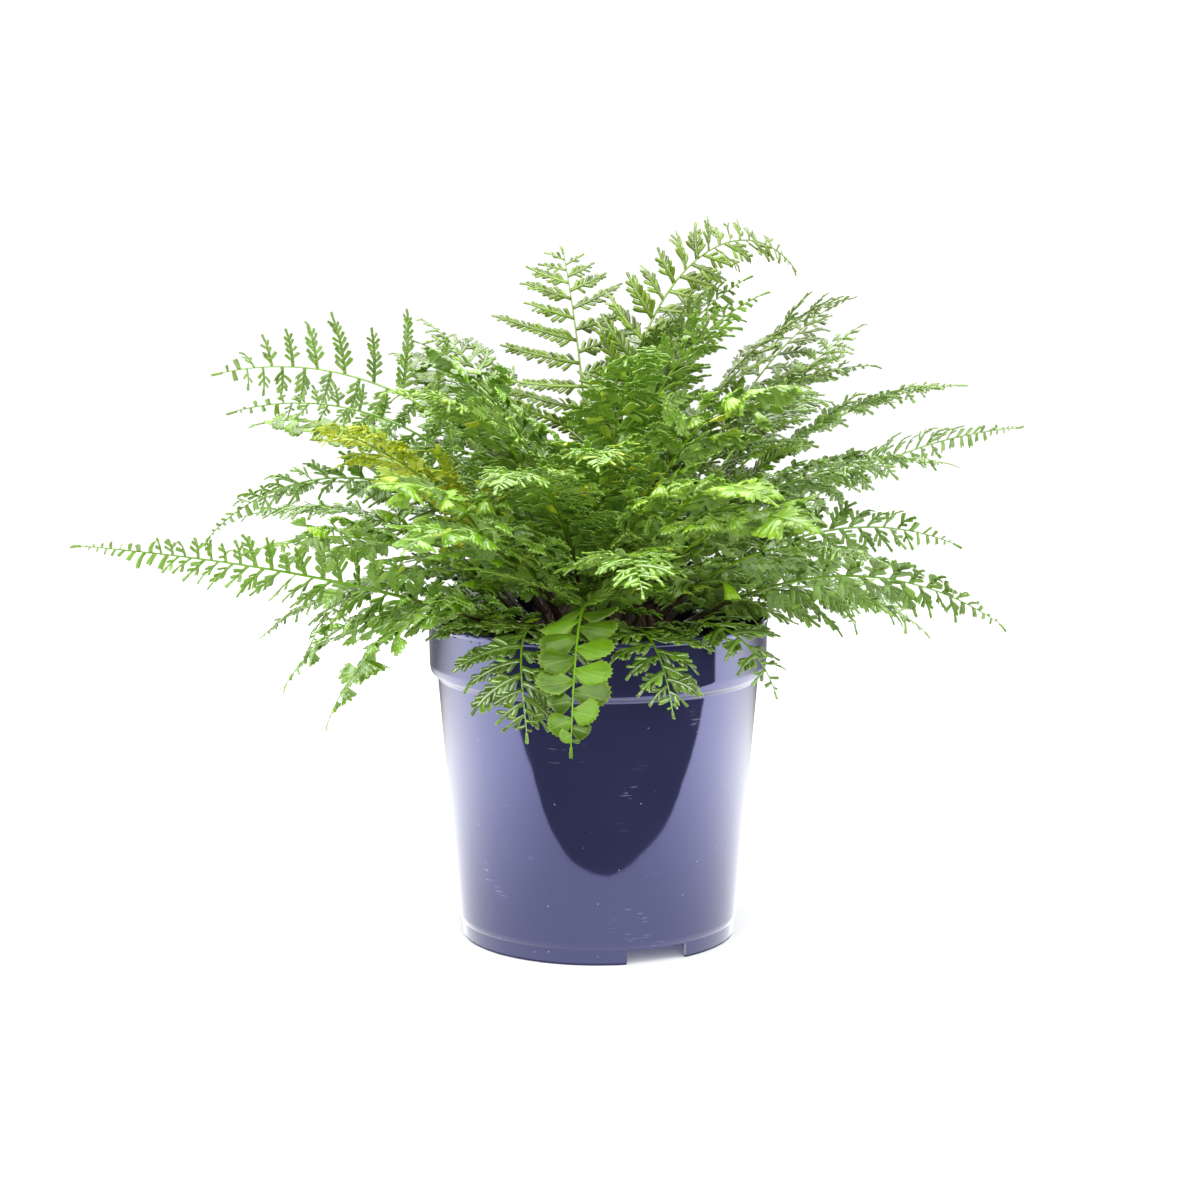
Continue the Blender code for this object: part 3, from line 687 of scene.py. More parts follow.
class Frond:
    """The path of one frond, by the same rule as in the CAD frame."""

    def __init__(self, name, row):
        (self.azimuth, self.rise, self.fall, self.length, self.half_width, self.roll, swing, bend,
         self.age, self.cut, self.widening, self.shade) = row
        self.name = name
        self.end = SHARE_OF.get(name, 1.0)
        self.shares = np.linspace(0, 1, PATH_STEPS + 1)
        lift = np.radians(self.rise + (self.fall - self.rise) * self.shares ** bend)
        turn = np.radians(self.azimuth + swing * self.shares)
        self.along = np.stack([np.cos(lift) * np.cos(turn), np.cos(lift) * np.sin(turn),
                               np.sin(lift)], axis=1)
        self.across = np.stack([-np.sin(turn), np.cos(turn), np.zeros_like(turn)], axis=1)
        steps = (self.along[1:] + self.along[:-1]) / 2 * self.length / PATH_STEPS
        start = self.seat() + self.along[0] * GAP
        self.points = np.vstack([start, start + np.cumsum(steps, axis=0)])

    def seat(self):
        """The point on the crown whose surface faces the way the frond sets off."""
        turn = math.radians(self.azimuth)
        rise = math.radians(self.rise)
        around = math.atan2(CROWN_HEIGHT * math.sin(rise), CROWN_RADIUS * math.cos(rise))
        radius = CROWN_RADIUS * math.cos(around)
        height = CROWN_HEIGHT * math.sin(around)
        return np.array([radius * math.cos(turn), radius * math.sin(turn),
                         SOIL_TOP + GAP + height])

    def frames(self, shares):
        """Points, directions, sides and normals of the blade at shares of the length."""
        shares = np.atleast_1d(shares)
        point, along, across = sampled(shares, self.shares,
                                       (self.points, self.along, self.across))
        along = unit(along)
        point = point + along * np.maximum(shares - 1.0, 0.0)[:, None] * self.length
        across = unit(across)
        up = np.cross(along, across)
        roll = math.radians(self.roll) * np.minimum(1.0, shares / STIPE_SHARE)[:, None]
        side = across * np.cos(roll) + up * np.sin(roll)
        normal = up * np.cos(roll) - across * np.sin(roll)
        return point, along, side, normal


def pinna_places(frond, cut):
    """Shares of the blade at which pinnae stand, left and right by turns."""
    blade = frond.length * (1 - BLADE_START)
    places = []
    share = 0.0
    while share < LAST_PINNA:
        places.append(share)
        width = spread(frond, cut, share) / frond.half_width
        pitch = cut.pitch * (1.25 if share > cut.fans else 1.0)
        share += pitch / 2 * (0.24 + 0.76 * min(1.0, width)) / blade
    return places


def spread(frond, cut, share):
    """Half width of the leafy blade: full in its lower half, drawn out to the tip."""
    width = frond.half_width * frond.widening * min(1.0, 0.62 + 1.5 * share)
    return width * 1.14 * (1 - share ** cut.taper) ** 0.95


def pinna_path(start, along, side, normal, length, angle, curve, lift, droop):
    """Points, directions and normals along a pinna that leaves the rachis and bends forward."""
    share = np.linspace(0, 1, PINNA_STEPS + 1)[:, None]
    swing = np.radians(angle - curve * share)
    pitch = np.radians(lift - droop * share)
    level = along * np.cos(swing) + side * np.sin(swing)
    heading = level * np.cos(pitch) + normal * np.sin(pitch)
    up = normal * np.cos(pitch) - level * np.sin(pitch)
    steps = (heading[1:] + heading[:-1]) / 2 * length / PINNA_STEPS
    path = np.vstack([start, start + np.cumsum(steps, axis=0)])
    return path, heading, up


def turned_about(normal, axis, angle):
    """The normals, turned about their axes by an angle in radians."""
    return normal * np.cos(angle) + np.cross(axis, normal) * np.sin(angle)


def add_leaflets(foliage, lobes, origin, along, normal, length, width, bend, shade, rng, half):
    """Leaflets at the given frames: fans with so many lobes, or oblong ones if there are none."""
    count = len(origin)
    arch = rng.normal(-0.16, 0.16, count)
    cup = rng.normal(0.07 if lobes else 0.20, 0.07, count)
    local, edge = (fan_leaflets(length, width, bend, arch, cup, lobes) if lobes
                   else oblong_leaflets(length, width, bend, arch, cup))
    grid = set_in_place(local, origin, along, normal)
    # Each leaflet's lightness varies at random about its frond's, which holds painted light and
    # shade.
    tone = np.clip(rng.normal(shade, 0.20, count), -0.3, 1.3)
    spot = local.copy()
    spot[..., 2] = rng.uniform(0, 0.5, count)[:, None, None]
    foliage.blades(grid, np.full(count, half), tone, edge, 0.0, spot)


def add_pinna(foliage, frond, cut, share, hand, rng, half):
    """One pinna: a winged midrib with leaflets left and right, and one at its tip."""
    at = (BLADE_START + share * (1 - BLADE_START)) * frond.end
    point, along, side, normal = [v[0] for v in frond.frames(at)]
    angle = cut.angle + rng.normal(0, 5)
    length = spread(frond, cut, share) / math.sin(math.radians(angle - cut.curve * 0.45))
    length *= rng.normal(1.0, 0.09)
    single = length < SHORT_PINNA or share > cut.fans
    lift = cut.lift * (0.2 if single else 1.0) + rng.normal(0, 6)
    droop = cut.droop + rng.normal(0, 7)
    path, heading, up = pinna_path(point, along, side * hand, normal, length, angle, cut.curve,
                                   lift, droop)
    up = turned_about(up, heading, np.radians(rng.normal(0, cut.twist)))
    if single:
        lobes = cut.ends if length > SHORT_FAN else 0
        size = min(length, LONGEST_FAN)
        width = min(size * 0.90, WIDEST_FAN) if lobes else min(size * 0.40, WIDEST_OBLONG)
        add_leaflets(foliage, lobes, path[:1], heading[1:2], up[:1], [size], [width],
                     [-0.10 * hand], frond.shade, rng, half)
        return
    add_wing(foliage, frond, cut, path, heading, up, length, rng, half)
    gap = cut.gap
    places = []
    run = gap * rng.uniform(0.55, 0.8)
    while run < length - gap * 0.9:
        places.append(run)
        run += gap / 2 * (0.72 + 0.28 * (1 - run / length)) * rng.normal(1.0, 0.05)
    if places:
        add_rows(foliage, frond, cut, path, heading, up, length, np.array(places), hand, rng, half)
    size = min(cut.leaflet * (0.80 if cut.lobes else 0.45), length * 0.4)
    width = min(cut.width * 0.8, size * (0.9 if cut.lobes else 0.45))
    add_leaflets(foliage, cut.lobes, path[-2:-1], heading[-1:], up[-1:],
                 [size + length / PINNA_STEPS], [width], [0.0], frond.shade, rng, half)


def add_wing(foliage, frond, cut, path, heading, up, length, rng, half):
    """The midrib of a pinna, with a narrow wing to both sides."""
    shares = np.linspace(0, 1, len(path))
    wing = 0.42 * min(cut.width, WIDEST_WING) * (1 - 0.45 * shares) * min(1.0, length / 0.02)
    sideways = np.cross(heading, up)
    grid = path[:, None] + sideways[:, None] * (wing[:, None] * ACROSS)[..., None]
    grid = grid + up[:, None] * (0.00018 * (1 - np.abs(ACROSS)))[None, :, None]
    spot = np.zeros(grid.shape)
    spot[..., 0] = wing[:, None] * ACROSS
    spot[..., 1] = (shares * length)[:, None]
    tone = np.clip(rng.normal(frond.shade, 0.15), 0, 1.3)
    foliage.blades(grid[None], np.full(1, half * 1.2), [tone], np.abs(ACROSS) ** 3, 0.0,
                   spot[None])


def add_rows(foliage, frond, cut, path, heading, up, length, places, hand, rng, half):
    """The leaflets left and right of a pinna's midrib, at places along it."""
    count = len(places)
    hands = np.where(np.arange(count) % 2 == 0, 1.0, -1.0) * hand
    far = places / length
    origin, along, normal = sampled(far, np.linspace(0, 1, len(path)), (path, heading, up))
    along = unit(along)
    normal = unit(normal)
    aside = np.cross(along, normal)
    opening = np.radians(rng.normal(50, 4, count) - 12 * far)[:, None]
    direction = along * np.cos(opening) + aside * hands[:, None] * np.sin(opening)
    tip_up = np.radians(rng.normal(6, 7, count))[:, None]
    leaf_along = direction * np.cos(tip_up) + normal * np.sin(tip_up)
    leaf_normal = normal * np.cos(tip_up) - direction * np.sin(tip_up)
    roll = np.radians(rng.normal(0, 10, count))[:, None]
    leaf_normal = turned_about(leaf_normal, leaf_along, roll)
    size = cut.leaflet * min(1.0, 0.40 + length / 0.040)
    size = size * (1.05 - 0.50 * far) * rng.normal(1.0, 0.07, count)
    size = np.minimum(size, (length - places) * 1.25 + 0.0022)
    width = cut.width * np.clip(size / cut.leaflet, 0.55, 1.1) * rng.normal(1, 0.07, count)
    add_leaflets(foliage, cut.lobes, origin, leaf_along, leaf_normal, size, width, -0.16 * hands,
                 frond.shade, rng, half)


def frond_mesh(frond, seed, settings):
    """The whole frond: stipe and rachis, pinnae by turns, and a drawn-out tip."""
    rng = np.random.default_rng(seed)
    frond.shade += rng.uniform(-0.12, 0.12)
    cut = CUTS[frond.cut]
    half = settings.leaf / 2
    foliage = Foliage()
    shares = np.concatenate([[-0.03], np.linspace(0, 1, 56)])
    path, along, _, _ = frond.frames(np.maximum(shares, 0.0) * frond.end)
    path[0] = path[1] - along[1] * 0.006
    clear = np.clip(shares, 0, 1)
    radius = settings.stipe_radius * (1 - 0.78 * clear ** 0.8)
    foliage.stalk(path, radius, 0.55, np.clip(1.0 - (clear - 0.10) / 0.42, 0, 1))
    hand = 1 if rng.random() < 0.5 else -1
    for share in pinna_places(frond, cut):
        add_pinna(foliage, frond, cut, share, hand, rng, half)
        hand = -hand
    point, along, _, normal = frond.frames(TIP_SHARE * frond.end)
    size = 0.015 * frond.length + 0.003
    add_leaflets(foliage, 0, point, along, normal, [size], [0.0018], [0.0], frond.shade, rng,
                 half)
    return foliage.mesh(frond.name + "_leaves")


# ---------------------------------------------------------------------------------------------
# Pot, soil and crown


def rounded(profile, radius):
    """A (radius, height) line with its corners turned into short arcs."""
    points = [np.array(p) for p in profile]
    out = [points[0]]
    for before, corner, after in zip(points, points[1:], points[2:]):
        back, on = before - corner, after - corner
        reach = min(radius, np.linalg.norm(back) * 0.45, np.linalg.norm(on) * 0.45)
        start = corner + back / np.linalg.norm(back) * reach
        end = corner + on / np.linalg.norm(on) * reach
        for i in range(CORNER_STEPS + 1):
            t = i / CORNER_STEPS
            out.append(start * (1 - t) ** 2 + corner * 2 * t * (1 - t) + end * t ** 2)
    out.append(points[-1])
    return out


def pot_outside():
    """The pot's outer line, from the lip down to the foot."""
    collar_foot = LEDGE_HEIGHT + 0.0012
    return [
        (RIM_RADIUS - 0.0024, POT_HEIGHT),
        (RIM_RADIUS - 0.0006, POT_HEIGHT),
        (RIM_RADIUS, POT_HEIGHT - 0.0008),
        (RIM_RADIUS, POT_HEIGHT - 0.0026),
        (RIM_RADIUS - 0.0005, POT_HEIGHT - 0.0034),
        (RIM_RADIUS - 0.0009, LEDGE_HEIGHT + 0.0068),
        (RIM_RADIUS - 0.0016, LEDGE_HEIGHT + 0.0030),
        (RIM_RADIUS - 0.0032, collar_foot),
        (BODY_TOP_RADIUS + 0.0008, LEDGE_HEIGHT),
        (BODY_TOP_RADIUS, LEDGE_HEIGHT - 0.0010),
        (BODY_FOOT_RADIUS, FOOT_HEIGHT + 0.0034),
        (FOOT_RADIUS + 0.0013, FOOT_HEIGHT + 0.0010),
        (FOOT_RADIUS + 0.0007, FOOT_HEIGHT),
        (FOOT_RADIUS, 0.0),
    ]


def pot_inside():
    """The pot's inner line, from the middle of the base up to the lip."""
    base_top = FOOT_HEIGHT + WALL
    return [
        (0.0, base_top),
        (BODY_FOOT_RADIUS - WALL - 0.0020, base_top),
        (BODY_FOOT_RADIUS - WALL, base_top + 0.0025),
        (BODY_TOP_RADIUS - WALL, LEDGE_HEIGHT - 0.0020),
        (RIM_RADIUS - 0.0032, LEDGE_HEIGHT + 0.0035),
        (RIM_RADIUS - 0.0029, POT_HEIGHT - 0.0060),
        (RIM_RADIUS - 0.0026, POT_HEIGHT - 0.0052),
        (RIM_RADIUS - 0.0026, POT_HEIGHT - 0.0008),
    ]


def pot_underside():
    """The inside of the foot ring and the underside of the base."""
    return [
        (FOOT_RADIUS - WALL - 0.0004, 0.0),
        (FOOT_RADIUS - WALL, FOOT_HEIGHT - 0.0006),
        (0.0, FOOT_HEIGHT - 0.0006),
    ]


def turned_object(name, profile, steps):
    """A round piece: a profile of (radius, height) pairs turned about Z."""
    shape = bmesh.new()
    line = [shape.verts.new((float(r), 0.0, float(z))) for r, z in profile]
    edges = [shape.edges.new(pair) for pair in zip(line, line[1:])]
    bmesh.ops.spin(shape, geom=line + edges, cent=(0, 0, 0), axis=(0, 0, 1), angle=math.tau,
                   steps=steps, use_merge=True)
    bmesh.ops.remove_doubles(shape, verts=shape.verts, dist=0.00001)
    bmesh.ops.recalc_face_normals(shape, faces=shape.faces)
    mesh = bpy.data.meshes.new(name)
    shape.to_mesh(mesh)
    shape.free()
    return in_scene(name, mesh)


def cut_away(body, cutters):
    """Takes the cutters' shapes out of the body and clears them away."""
    for cutter in cutters:
        boolean = body.modifiers.new(cutter.name, "BOOLEAN")
        boolean.operation = "DIFFERENCE"
        boolean.solver = "EXACT"
        boolean.object = cutter
    bpy.context.view_layer.update()
    depsgraph = bpy.context.evaluated_depsgraph_get()
    mesh = bpy.data.meshes.new_from_object(body.evaluated_get(depsgraph))
    for cutter in cutters:
        bpy.data.objects.remove(cutter, do_unlink=True)
    bpy.data.objects.remove(body, do_unlink=True)
    return mesh


def cutter_at(name, shape, place, azimuth):
    """The shape as an object, set where it cuts."""
    mesh = bpy.data.meshes.new(name)
    shape.to_mesh(mesh)
    shape.free()
    cutter = in_scene(name, mesh)
    cutter.location = place
    cutter.rotation_euler.z = azimuth
    return cutter


def pot_cutters():
    """The notches in the foot ring and the drain holes in the base."""
    cutters = []
    for i in range(NOTCH_COUNT):
        angle = math.radians(NOTCH_AZIMUTH + i * 360 / NOTCH_COUNT)
        box = bmesh.new()
        bmesh.ops.create_cube(box, size=1.0)
        bmesh.ops.scale(box, vec=(0.012, NOTCH_WIDTH, 2 * (FOOT_HEIGHT - 0.0008)), verts=box.verts)
        place = (FOOT_RADIUS * math.cos(angle), FOOT_RADIUS * math.sin(angle), 0.0)
        cutters.append(cutter_at(f"foot_notch_{i + 1}", box, place, angle))
    for i in range(DRAIN_COUNT):
        angle = math.tau * (i + 0.5) / DRAIN_COUNT
        rod = bmesh.new()
        bmesh.ops.create_cone(rod, cap_ends=True, segments=24, radius1=DRAIN_RADIUS,
                              radius2=DRAIN_RADIUS, depth=6 * WALL)
        place = (DRAIN_CIRCLE * math.cos(angle), DRAIN_CIRCLE * math.sin(angle), FOOT_HEIGHT)
        cutters.append(cutter_at(f"drain_hole_{i + 1}", rod, place, 0.0))
    return cutters


def soil_profile():
    """The soil's outline: it keeps a small gap to the pot's inner line."""
    gap = 2 * GAP
    inside = pot_inside()
    return [
        (inside[4][0] - gap, SOIL_TOP - 0.003),
        (inside[4][0] - gap, inside[4][1] + gap),
        (inside[3][0] - gap, inside[3][1]),
        (inside[2][0] - gap, inside[2][1] + gap),
        (inside[1][0] - gap, SOIL_LOW),
        (0.0, SOIL_LOW),
    ]


def soil_height(x, y):
    """Gentle lumps in the soil's surface."""
    return (0.0011 * np.sin(x * 190 + 1.3) * np.cos(y * 160 - 0.7)
            + 0.0008 * np.sin(x * 410 - y * 300 + 2.0) + 0.0005 * np.cos(y * 620 + x * 350))


def soil_mesh(settings):
    """Lumpy soil filling the pot, with loose crumbs and chips of bark on top."""
    rng = np.random.default_rng(SOIL_SEED)
    rings, steps = SOIL_RINGS, SOIL_STEPS
    top_radius = soil_profile()[0][0]
    radii = top_radius * np.linspace(0, 1, rings + 1)[1:]
    turn = np.arange(steps) * math.tau / steps
    x = radii[:, None] * np.cos(turn)
    y = radii[:, None] * np.sin(turn)
    rise = np.clip((top_radius - radii) / 0.006, 0, 1)[:, None]
    z = SOIL_TOP - 0.0022 + soil_height(x, y) * rise
    points = [(0.0, 0.0, SOIL_TOP - 0.0022)]
    points += list(zip(x.ravel(), y.ravel(), z.ravel()))
    for radius, height in soil_profile()[1:-1]:
        points += [(radius * math.cos(t), radius * math.sin(t), height) for t in turn]
    levels = rings + len(soil_profile()) - 2
    faces = [(0, 1 + i, 1 + (i + 1) % steps) for i in range(steps)]
    for ring in range(levels - 1):
        here, there = 1 + ring * steps, 1 + (ring + 1) * steps
        faces += [(here + i, there + i, there + (i + 1) % steps, here + (i + 1) % steps)
                  for i in range(steps)]
    bottom = len(points)
    points.append((0.0, 0.0, SOIL_LOW))
    last = 1 + (levels - 1) * steps
    faces += [(bottom, last + (i + 1) % steps, last + i) for i in range(steps)]
    kinds = [0.0] * len(points)
    lump = bmesh.new()
    bmesh.ops.create_icosphere(lump, subdivisions=1, radius=1.0)
    lump_points = np.array([v.co for v in lump.verts])
    lump_faces = [tuple(v.index for v in f.verts) for f in lump.faces]
    lump.free()
    for _ in range(settings.crumbs):
        chip = rng.random() < 0.3
        size = rng.uniform(0.0010, 0.0024) if chip else rng.uniform(0.0006, 0.0015)
        stretch = np.array([2.1, 1.1, 0.6]) if chip else rng.uniform(0.7, 1.2, 3)
        shape = lump_points * (1 + rng.uniform(-0.22, 0.22, len(lump_points))[:, None])
        spin = np.linalg.qr(rng.normal(size=(3, 3)))[0]
        shape = shape * stretch * size @ spin
        radius = (top_radius - 0.004) * math.sqrt(rng.uniform(0.05, 1.0))
        angle = rng.uniform(0, math.tau)
        here = np.array([radius * math.cos(angle), radius * math.sin(angle), 0.0])
        here[2] = SOIL_TOP - 0.0018 + soil_height(here[0], here[1])
        start = len(points)
        points += [tuple(p) for p in shape + here]
        faces += [tuple(i + start for i in f) for f in lump_faces]
        kinds += [1.0 if chip else 0.15 * rng.random()] * len(shape)
    mesh = bpy.data.meshes.new("potting_mix")
    mesh.from_pydata(points, [], faces)
    crumb = mesh.attributes.new("crumb", "FLOAT", "POINT")
    crumb.data.foreach_set("value", np.array(kinds, np.float32))
    mesh.shade_smooth()
    return mesh


def crown_place(rise, azimuth, share=1.0):
    """A point on the crown's dome and the way its surface faces there."""
    around = np.arctan2(CROWN_HEIGHT * np.sin(rise), CROWN_RADIUS * np.cos(rise))
    place = np.stack([CROWN_RADIUS * np.cos(around) * np.cos(azimuth),
                      CROWN_RADIUS * np.cos(around) * np.sin(azimuth),
                      CROWN_HEIGHT * np.sin(around)], axis=-1) * share
    facing = np.stack([np.cos(rise) * np.cos(azimuth), np.cos(rise) * np.sin(azimuth),
                       np.sin(rise)], axis=-1)
    return place + np.array([0, 0, SOIL_TOP + GAP]), facing


def crown_mesh(settings):
    """A lumpy dome under overlapping scales, with the stubs of old stipes."""
    rng = np.random.default_rng(CROWN_SEED)
    crown = Foliage()
    rows, columns = 15, 61
    rise = np.radians(np.linspace(0.5, 89.5, rows))[:, None] * np.ones(columns)
    azimuth = np.linspace(0, math.tau, columns)[None] * np.ones((rows, 1))
    lumps = 0.90 + 0.03 * np.sin(azimuth * 7 + rise * 5) * np.cos(rise)
    dome, _ = crown_place(rise, azimuth)
    middle = np.array([0, 0, SOIL_TOP + GAP])
    dome = middle + (dome - middle) * lumps[..., None]
    crown.blades(dome[None], [0.0012], [0.1], np.zeros(columns), 0.0, dome[None])
    count = settings.scales
    rise = np.radians(rng.uniform(8, 84, count))
    azimuth = rng.uniform(0, math.tau, count)
    place, facing = crown_place(rise, azimuth, 0.93)
    around = np.stack([-np.sin(azimuth), np.cos(azimuth), np.zeros(count)], axis=1)
    climb = np.cross(facing, around)
    sway = rng.normal(0, 0.35, count)[:, None]
    lean = rng.uniform(0.25, 0.75, count)[:, None]
    along = unit(climb + around * sway + facing * lean)
    normal = unit(facing - along * np.sum(facing * along, axis=1, keepdims=True))
    length = rng.uniform(0.006, 0.012, count)
    width = rng.uniform(0.0014, 0.0026, count)
    local, edge = oblong_leaflets(length, width, rng.normal(0, 0.12, count),
                                  rng.normal(0.25, 0.15, count), np.full(count, 0.15))
    taper = np.array([1.0, 1.0, 0.85, 0.6, 0.35, 0.12])[None, :, None]
    local[..., 0] = local[..., 0] * taper
    spot = local.copy()
    spot[..., 2] = rng.uniform(0, 0.5, count)[:, None, None]
    crown.blades(set_in_place(local, place, along, normal), np.full(count, 0.00013),
                 rng.random(count), edge, 0.0, spot)
    for _ in range(settings.stubs):
        rise = np.radians(rng.uniform(25, 80))
        azimuth = rng.uniform(0, math.tau)
        place, facing = crown_place(rise, azimuth, 0.9)
        height = rng.uniform(0.006, 0.013)
        lean = unit(facing + rng.normal(0, 0.2, 3))
        shares = np.linspace(0, 1, 5)[:, None]
        crown.stalk(place + lean * shares * height, 0.0016 - 0.0005 * shares[:, 0],
                    rng.uniform(0, 0.4), 1.0)
    return crown.mesh("crown_clump")


# ---------------------------------------------------------------------------------------------
# Stage


def stage_sheet(name, corners, finish_surface):
    """A flat sheet of the stage with a plain finish."""
    mesh = bpy.data.meshes.new(name)
    mesh.from_pydata(corners, [], [tuple(range(len(corners)))])
    sheet = in_scene(name, mesh)
    finish = Finish(bpy.data.materials.new(name))
    mesh.materials.append(finish.end(finish_surface(finish)))
    return sheet


# The front edge of the lit table top, from left to right; the room in front of it is dark
TABLE_EDGE = ((-1.3, -0.30), (-0.42, -0.232), (-0.23, -0.238), (-0.06, -0.197), (0.02, -0.185),
              (0.10, -0.190), (0.26, -0.166), (0.45, -0.112), (1.3, -0.12))
TABLE_BACK = ((1.3, 5.0), (-1.3, 5.0))
TABLE_LEVEL = 0.0012
DARK_ROOM = ((-1.3, -1.6), (1.3, -1.6), (1.3, 0.4), (-1.3, 0.4))
DARK_LEVEL = 0.0008
FLOOR = ((-6, -6), (6, -6), (6, 6), (-6, 6))
SENSOR_WIDTH = 36.0
LENS_SHIFT = 1 / 600

# Walls of the light tent: corners, and how bright each is beside the table
TENT = {
    "tent_left": (((-1.6, -0.8, 0.1), (-1.6, 1.2, 0.1), (-1.6, 1.2, 1.5), (-1.6, -0.8, 1.5)),
                  0.42),
    "tent_right": (((1.6, -0.8, 0.1), (1.6, 1.2, 0.1), (1.6, 1.2, 1.5), (1.6, -0.8, 1.5)), 0.34),
    "tent_top": (((-1.2, -1.0, 1.7), (1.2, -1.0, 1.7), (1.2, 1.2, 1.7), (-1.2, 1.2, 1.7)), 1.7),
    "tent_front": (((-1.1, -1.7, 0.9), (1.1, -1.7, 0.9), (1.1, -1.2, 1.6), (-1.1, -1.2, 1.6)),
                   2.2),
    "tent_back": (((-1.4, 1.8, 0.1), (1.4, 1.8, 0.1), (1.4, 1.8, 1.5), (-1.4, 1.8, 1.5)), 0.6),
}


def level_sheet(name, outline, height, finish_surface):
    """A level sheet of the stage over an outline of (x, y) corners."""
    return stage_sheet(name, [(x, y, height) for x, y in outline], finish_surface)


def only_in_gloss(obj):
    """Seen in reflections only, so that it neither shows nor lights the plant."""
    for kind in ("camera", "diffuse", "transmission", "volume_scatter", "shadow"):
        setattr(obj, f"visible_{kind}", False)


def table_light(finish, strength):
    """The lit table top: brightest to the sides, where the softboxes stand, and dim far back."""
    place = finish.place()
    beside = abs(finish.axis(place, "X")).between(0.05, 0.40)
    behind = finish.axis(place, "Y").between(0.0, 0.70)
    return finish.light(strength, (0.45 + 0.55 * beside) * (1 - 0.93 * behind))


def softbox(name, place, height, size, power):
    """A soft light that looks at the pot's axis at some height."""
    light = bpy.data.lights.new(name, "AREA")
    light.shape = "RECTANGLE"
    light.size, light.size_y = size
    light.energy = power
    lamp = in_scene(name, light)
    lamp.location = place
    aim = Vector((0, 0, height)) - Vector(place)
    lamp.rotation_euler = aim.to_track_quat("-Z", "Y").to_euler()
    lamp.visible_camera = False
    return lamp


# ---------------------------------------------------------------------------------------------
# Operators


class FERN_OT_make_pot(Operator):
    """Turn the nursery pot, notch its foot and drill its base"""

    bl_idname = "fern.make_pot"
    bl_label = "Nursery Pot"

    def execute(self, context):
        settings = context.scene.fern.pot
        outline = rounded(pot_inside() + pot_outside() + pot_underside(), CORNER_RADIUS)
        mesh = cut_away(turned_object("pot_blank", outline, TURN_STEPS), pot_cutters())
        mesh.name = "pot_shell"
        mesh.materials.clear()
        mesh.shade_smooth()
        mesh.set_sharp_from_angle(angle=CREASE)
        new_piece("pot_shell", mesh, pot_finish(settings), "pot")
        return {"FINISHED"}


class FERN_OT_fill_soil(Operator):
    """Fill the pot with crumbly potting soil"""

    bl_idname = "fern.fill_soil"
    bl_label = "Potting Soil"

    def execute(self, context):
        settings = context.scene.fern.soil
        new_piece("potting_mix", soil_mesh(settings), soil_finish(settings), "potting_soil")
        return {"FINISHED"}


class FERN_OT_set_crown(Operator):
    """Set the scaly crown on the soil"""

    bl_idname = "fern.set_crown"
    bl_label = "Crown"

    def execute(self, context):
        settings = context.scene.fern.crown
        new_piece("crown_clump", crown_mesh(settings), crown_finish(settings), "rhizome_crown")
        return {"FINISHED"}


class FERN_OT_grow_fronds(Operator):
    """Grow the fronds of one habit along their paths"""

    bl_idname = "fern.grow_fronds"
    bl_label = "Fronds"

    habit: EnumProperty(name="Habit", description="Which fronds to grow",
                        items=[(h, h.capitalize(), f"The {h} fronds") for h in FRONDS])

    def execute(self, context):
        settings = context.scene.fern.fronds
        for age, (roughness, sheen) in GLOSS.items():
            if f"{age}_leaf" not in bpy.data.materials:
                leaf_finish(f"{age}_leaf", getattr(settings, age), settings.stipe, roughness,
                            sheen)
        if "fan_leaf" not in bpy.data.materials:
            leaf_finish("fan_leaf", settings.mature, settings.stipe, *FAN_GLOSS)
        first = 100 * list(FRONDS).index(self.habit)
        for i, row in enumerate(FRONDS[self.habit]):
            node = f"{self.habit}_frond_{i + 1:02d}"
            frond = Frond(node, row)
            leaf = "fan_leaf" if frond.cut == "fan" else f"{frond.age}_leaf"
            mesh = frond_mesh(frond, first + i, settings)
            new_piece(mesh.name, mesh, bpy.data.materials[leaf], node)
        return {"FINISHED"}


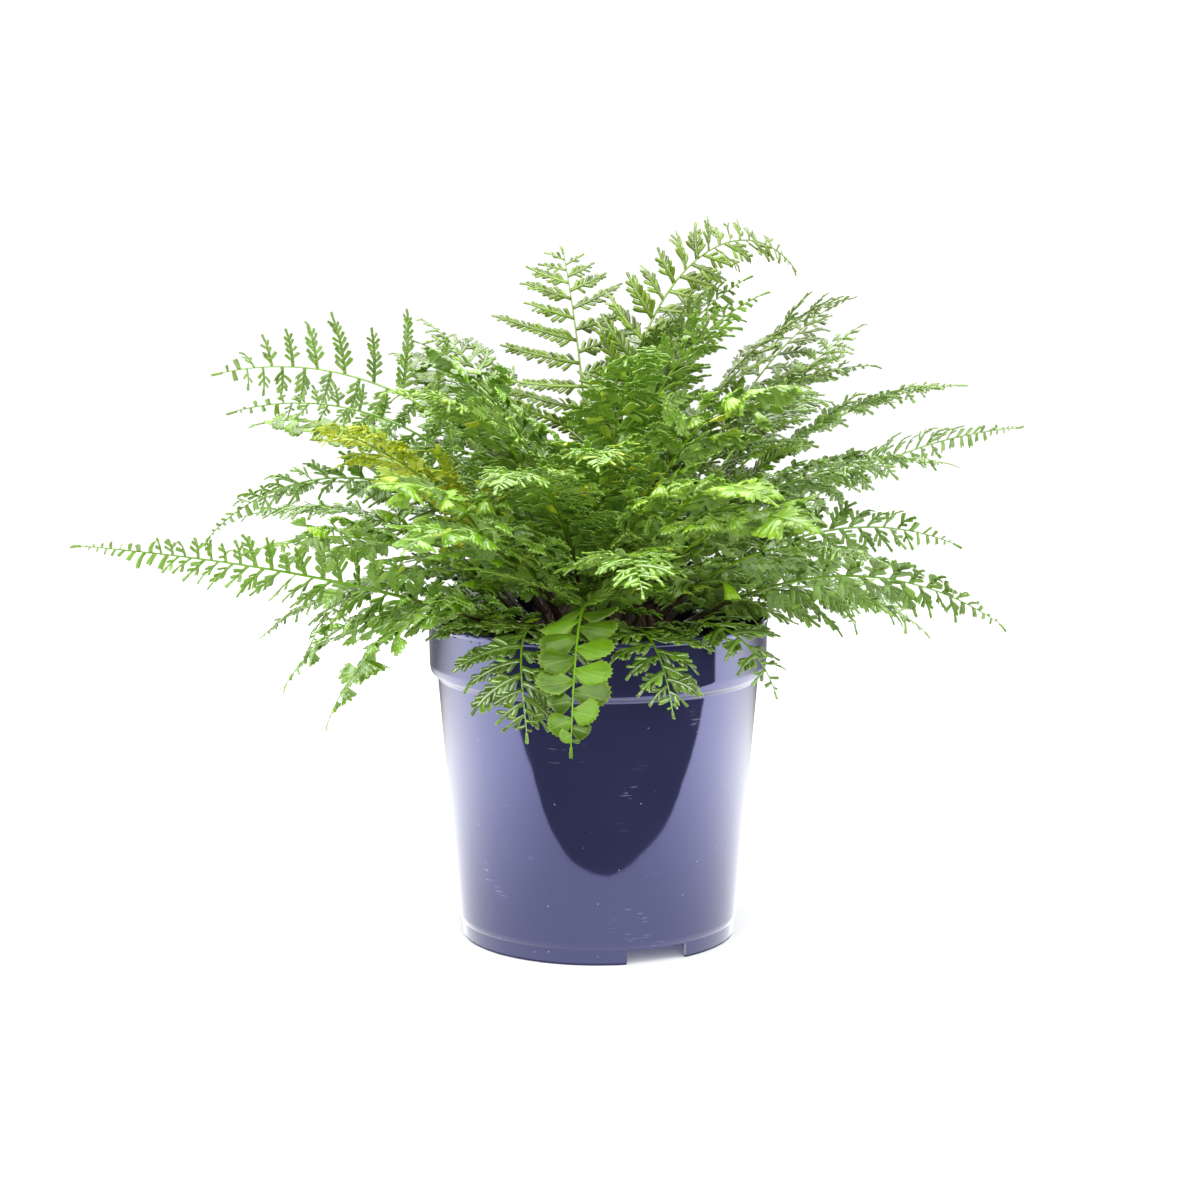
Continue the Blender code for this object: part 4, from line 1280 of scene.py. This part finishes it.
class FERN_OT_set_stage(Operator):
    """Lay the floor, hang the lights and place the camera"""

    bl_idname = "fern.set_stage"
    bl_label = "Stage"

    def execute(self, context):
        settings = context.scene.fern.stage
        level_sheet("floor", FLOOR, 0, lambda f: f.plastic({
            "Base Color": (*settings.floor, 1.0), "Roughness": 0.9, "Specular IOR Level": 0.1}))
        only_in_gloss(level_sheet("table_glow", TABLE_EDGE + TABLE_BACK, TABLE_LEVEL,
                                  lambda f: table_light(f, settings.table)))
        for name, (corners, strength) in TENT.items():
            only_in_gloss(stage_sheet(name, corners,
                                      lambda f: f.light(settings.tent * strength)))
        only_in_gloss(level_sheet("dark_room", DARK_ROOM, DARK_LEVEL, lambda f: f.light(0.0)))
        world = bpy.data.worlds.new("studio")
        context.scene.world = world
        finish = Finish(world)
        finish.end(finish.add("ShaderNodeBackground", {},
                              {"Color": (1.0, 1.0, 1.0, 1.0), "Strength": settings.sky}),
                   "ShaderNodeOutputWorld")
        softbox("key_light", (-0.25, -0.70, 1.6), 0.2, (1.8, 1.6), settings.key)
        softbox("left_light", (-1.5, 0.25, 0.8), 0.2, (0.9, 1.3), settings.sides)
        softbox("right_light", (1.5, 0.0, 0.8), 0.2, (0.9, 1.3), settings.sides * 0.7)
        front = softbox("front_light", (0.5, -2.0, 0.9), 0.28, (1.2, 0.9), settings.front)
        front.visible_glossy = False
        lens = bpy.data.cameras.new("camera")
        lens.sensor_width = SENSOR_WIDTH
        lens.lens = settings.lens
        lens.shift_x = LENS_SHIFT
        camera = in_scene("camera", lens)
        camera.location = (0, -settings.distance, settings.camera_height)
        camera.rotation_euler = (math.pi / 2 - settings.pitch, 0, 0)
        context.scene.camera = camera
        context.scene.view_settings.view_transform = "Standard"
        return {"FINISHED"}


class FERN_PT_panel(Panel):
    """The potted fern in the 3D view's sidebar"""

    bl_idname = "FERN_PT_panel"
    bl_label = "Potted Fern"
    bl_space_type = "VIEW_3D"
    bl_region_type = "UI"
    bl_category = "Fern"

    def draw(self, context):
        settings = context.scene.fern
        groups = (("pot", FERN_OT_make_pot), ("soil", FERN_OT_fill_soil),
                  ("crown", FERN_OT_set_crown), ("fronds", FERN_OT_grow_fronds),
                  ("stage", FERN_OT_set_stage))
        for name, operator in groups:
            box = self.layout.box()
            group = getattr(settings, name)
            for prop in group.bl_rna.properties:
                if prop.identifier not in {"rna_type", "name"}:
                    box.prop(group, prop.identifier)
            if operator is FERN_OT_grow_fronds:
                for habit in FRONDS:
                    box.operator(operator.bl_idname, text=habit.capitalize()).habit = habit
            else:
                box.operator(operator.bl_idname)


CLASSES = (PotSettings, SoilSettings, CrownSettings, FrondSettings, StageSettings, FernSettings,
           FERN_OT_make_pot, FERN_OT_fill_soil, FERN_OT_set_crown, FERN_OT_grow_fronds,
           FERN_OT_set_stage, FERN_PT_panel)


def register():
    for cls in CLASSES:
        bpy.utils.register_class(cls)
    bpy.types.Scene.fern = PointerProperty(type=FernSettings)


def unregister():
    del bpy.types.Scene.fern
    for cls in reversed(CLASSES):
        bpy.utils.unregister_class(cls)


def main():
    """Builds the fern and its stage."""
    register()
    bpy.ops.fern.set_stage()
    bpy.ops.fern.make_pot()
    bpy.ops.fern.fill_soil()
    bpy.ops.fern.set_crown()
    for habit in FRONDS:
        bpy.ops.fern.grow_fronds(habit=habit)


if __name__ == "__main__":
    main()
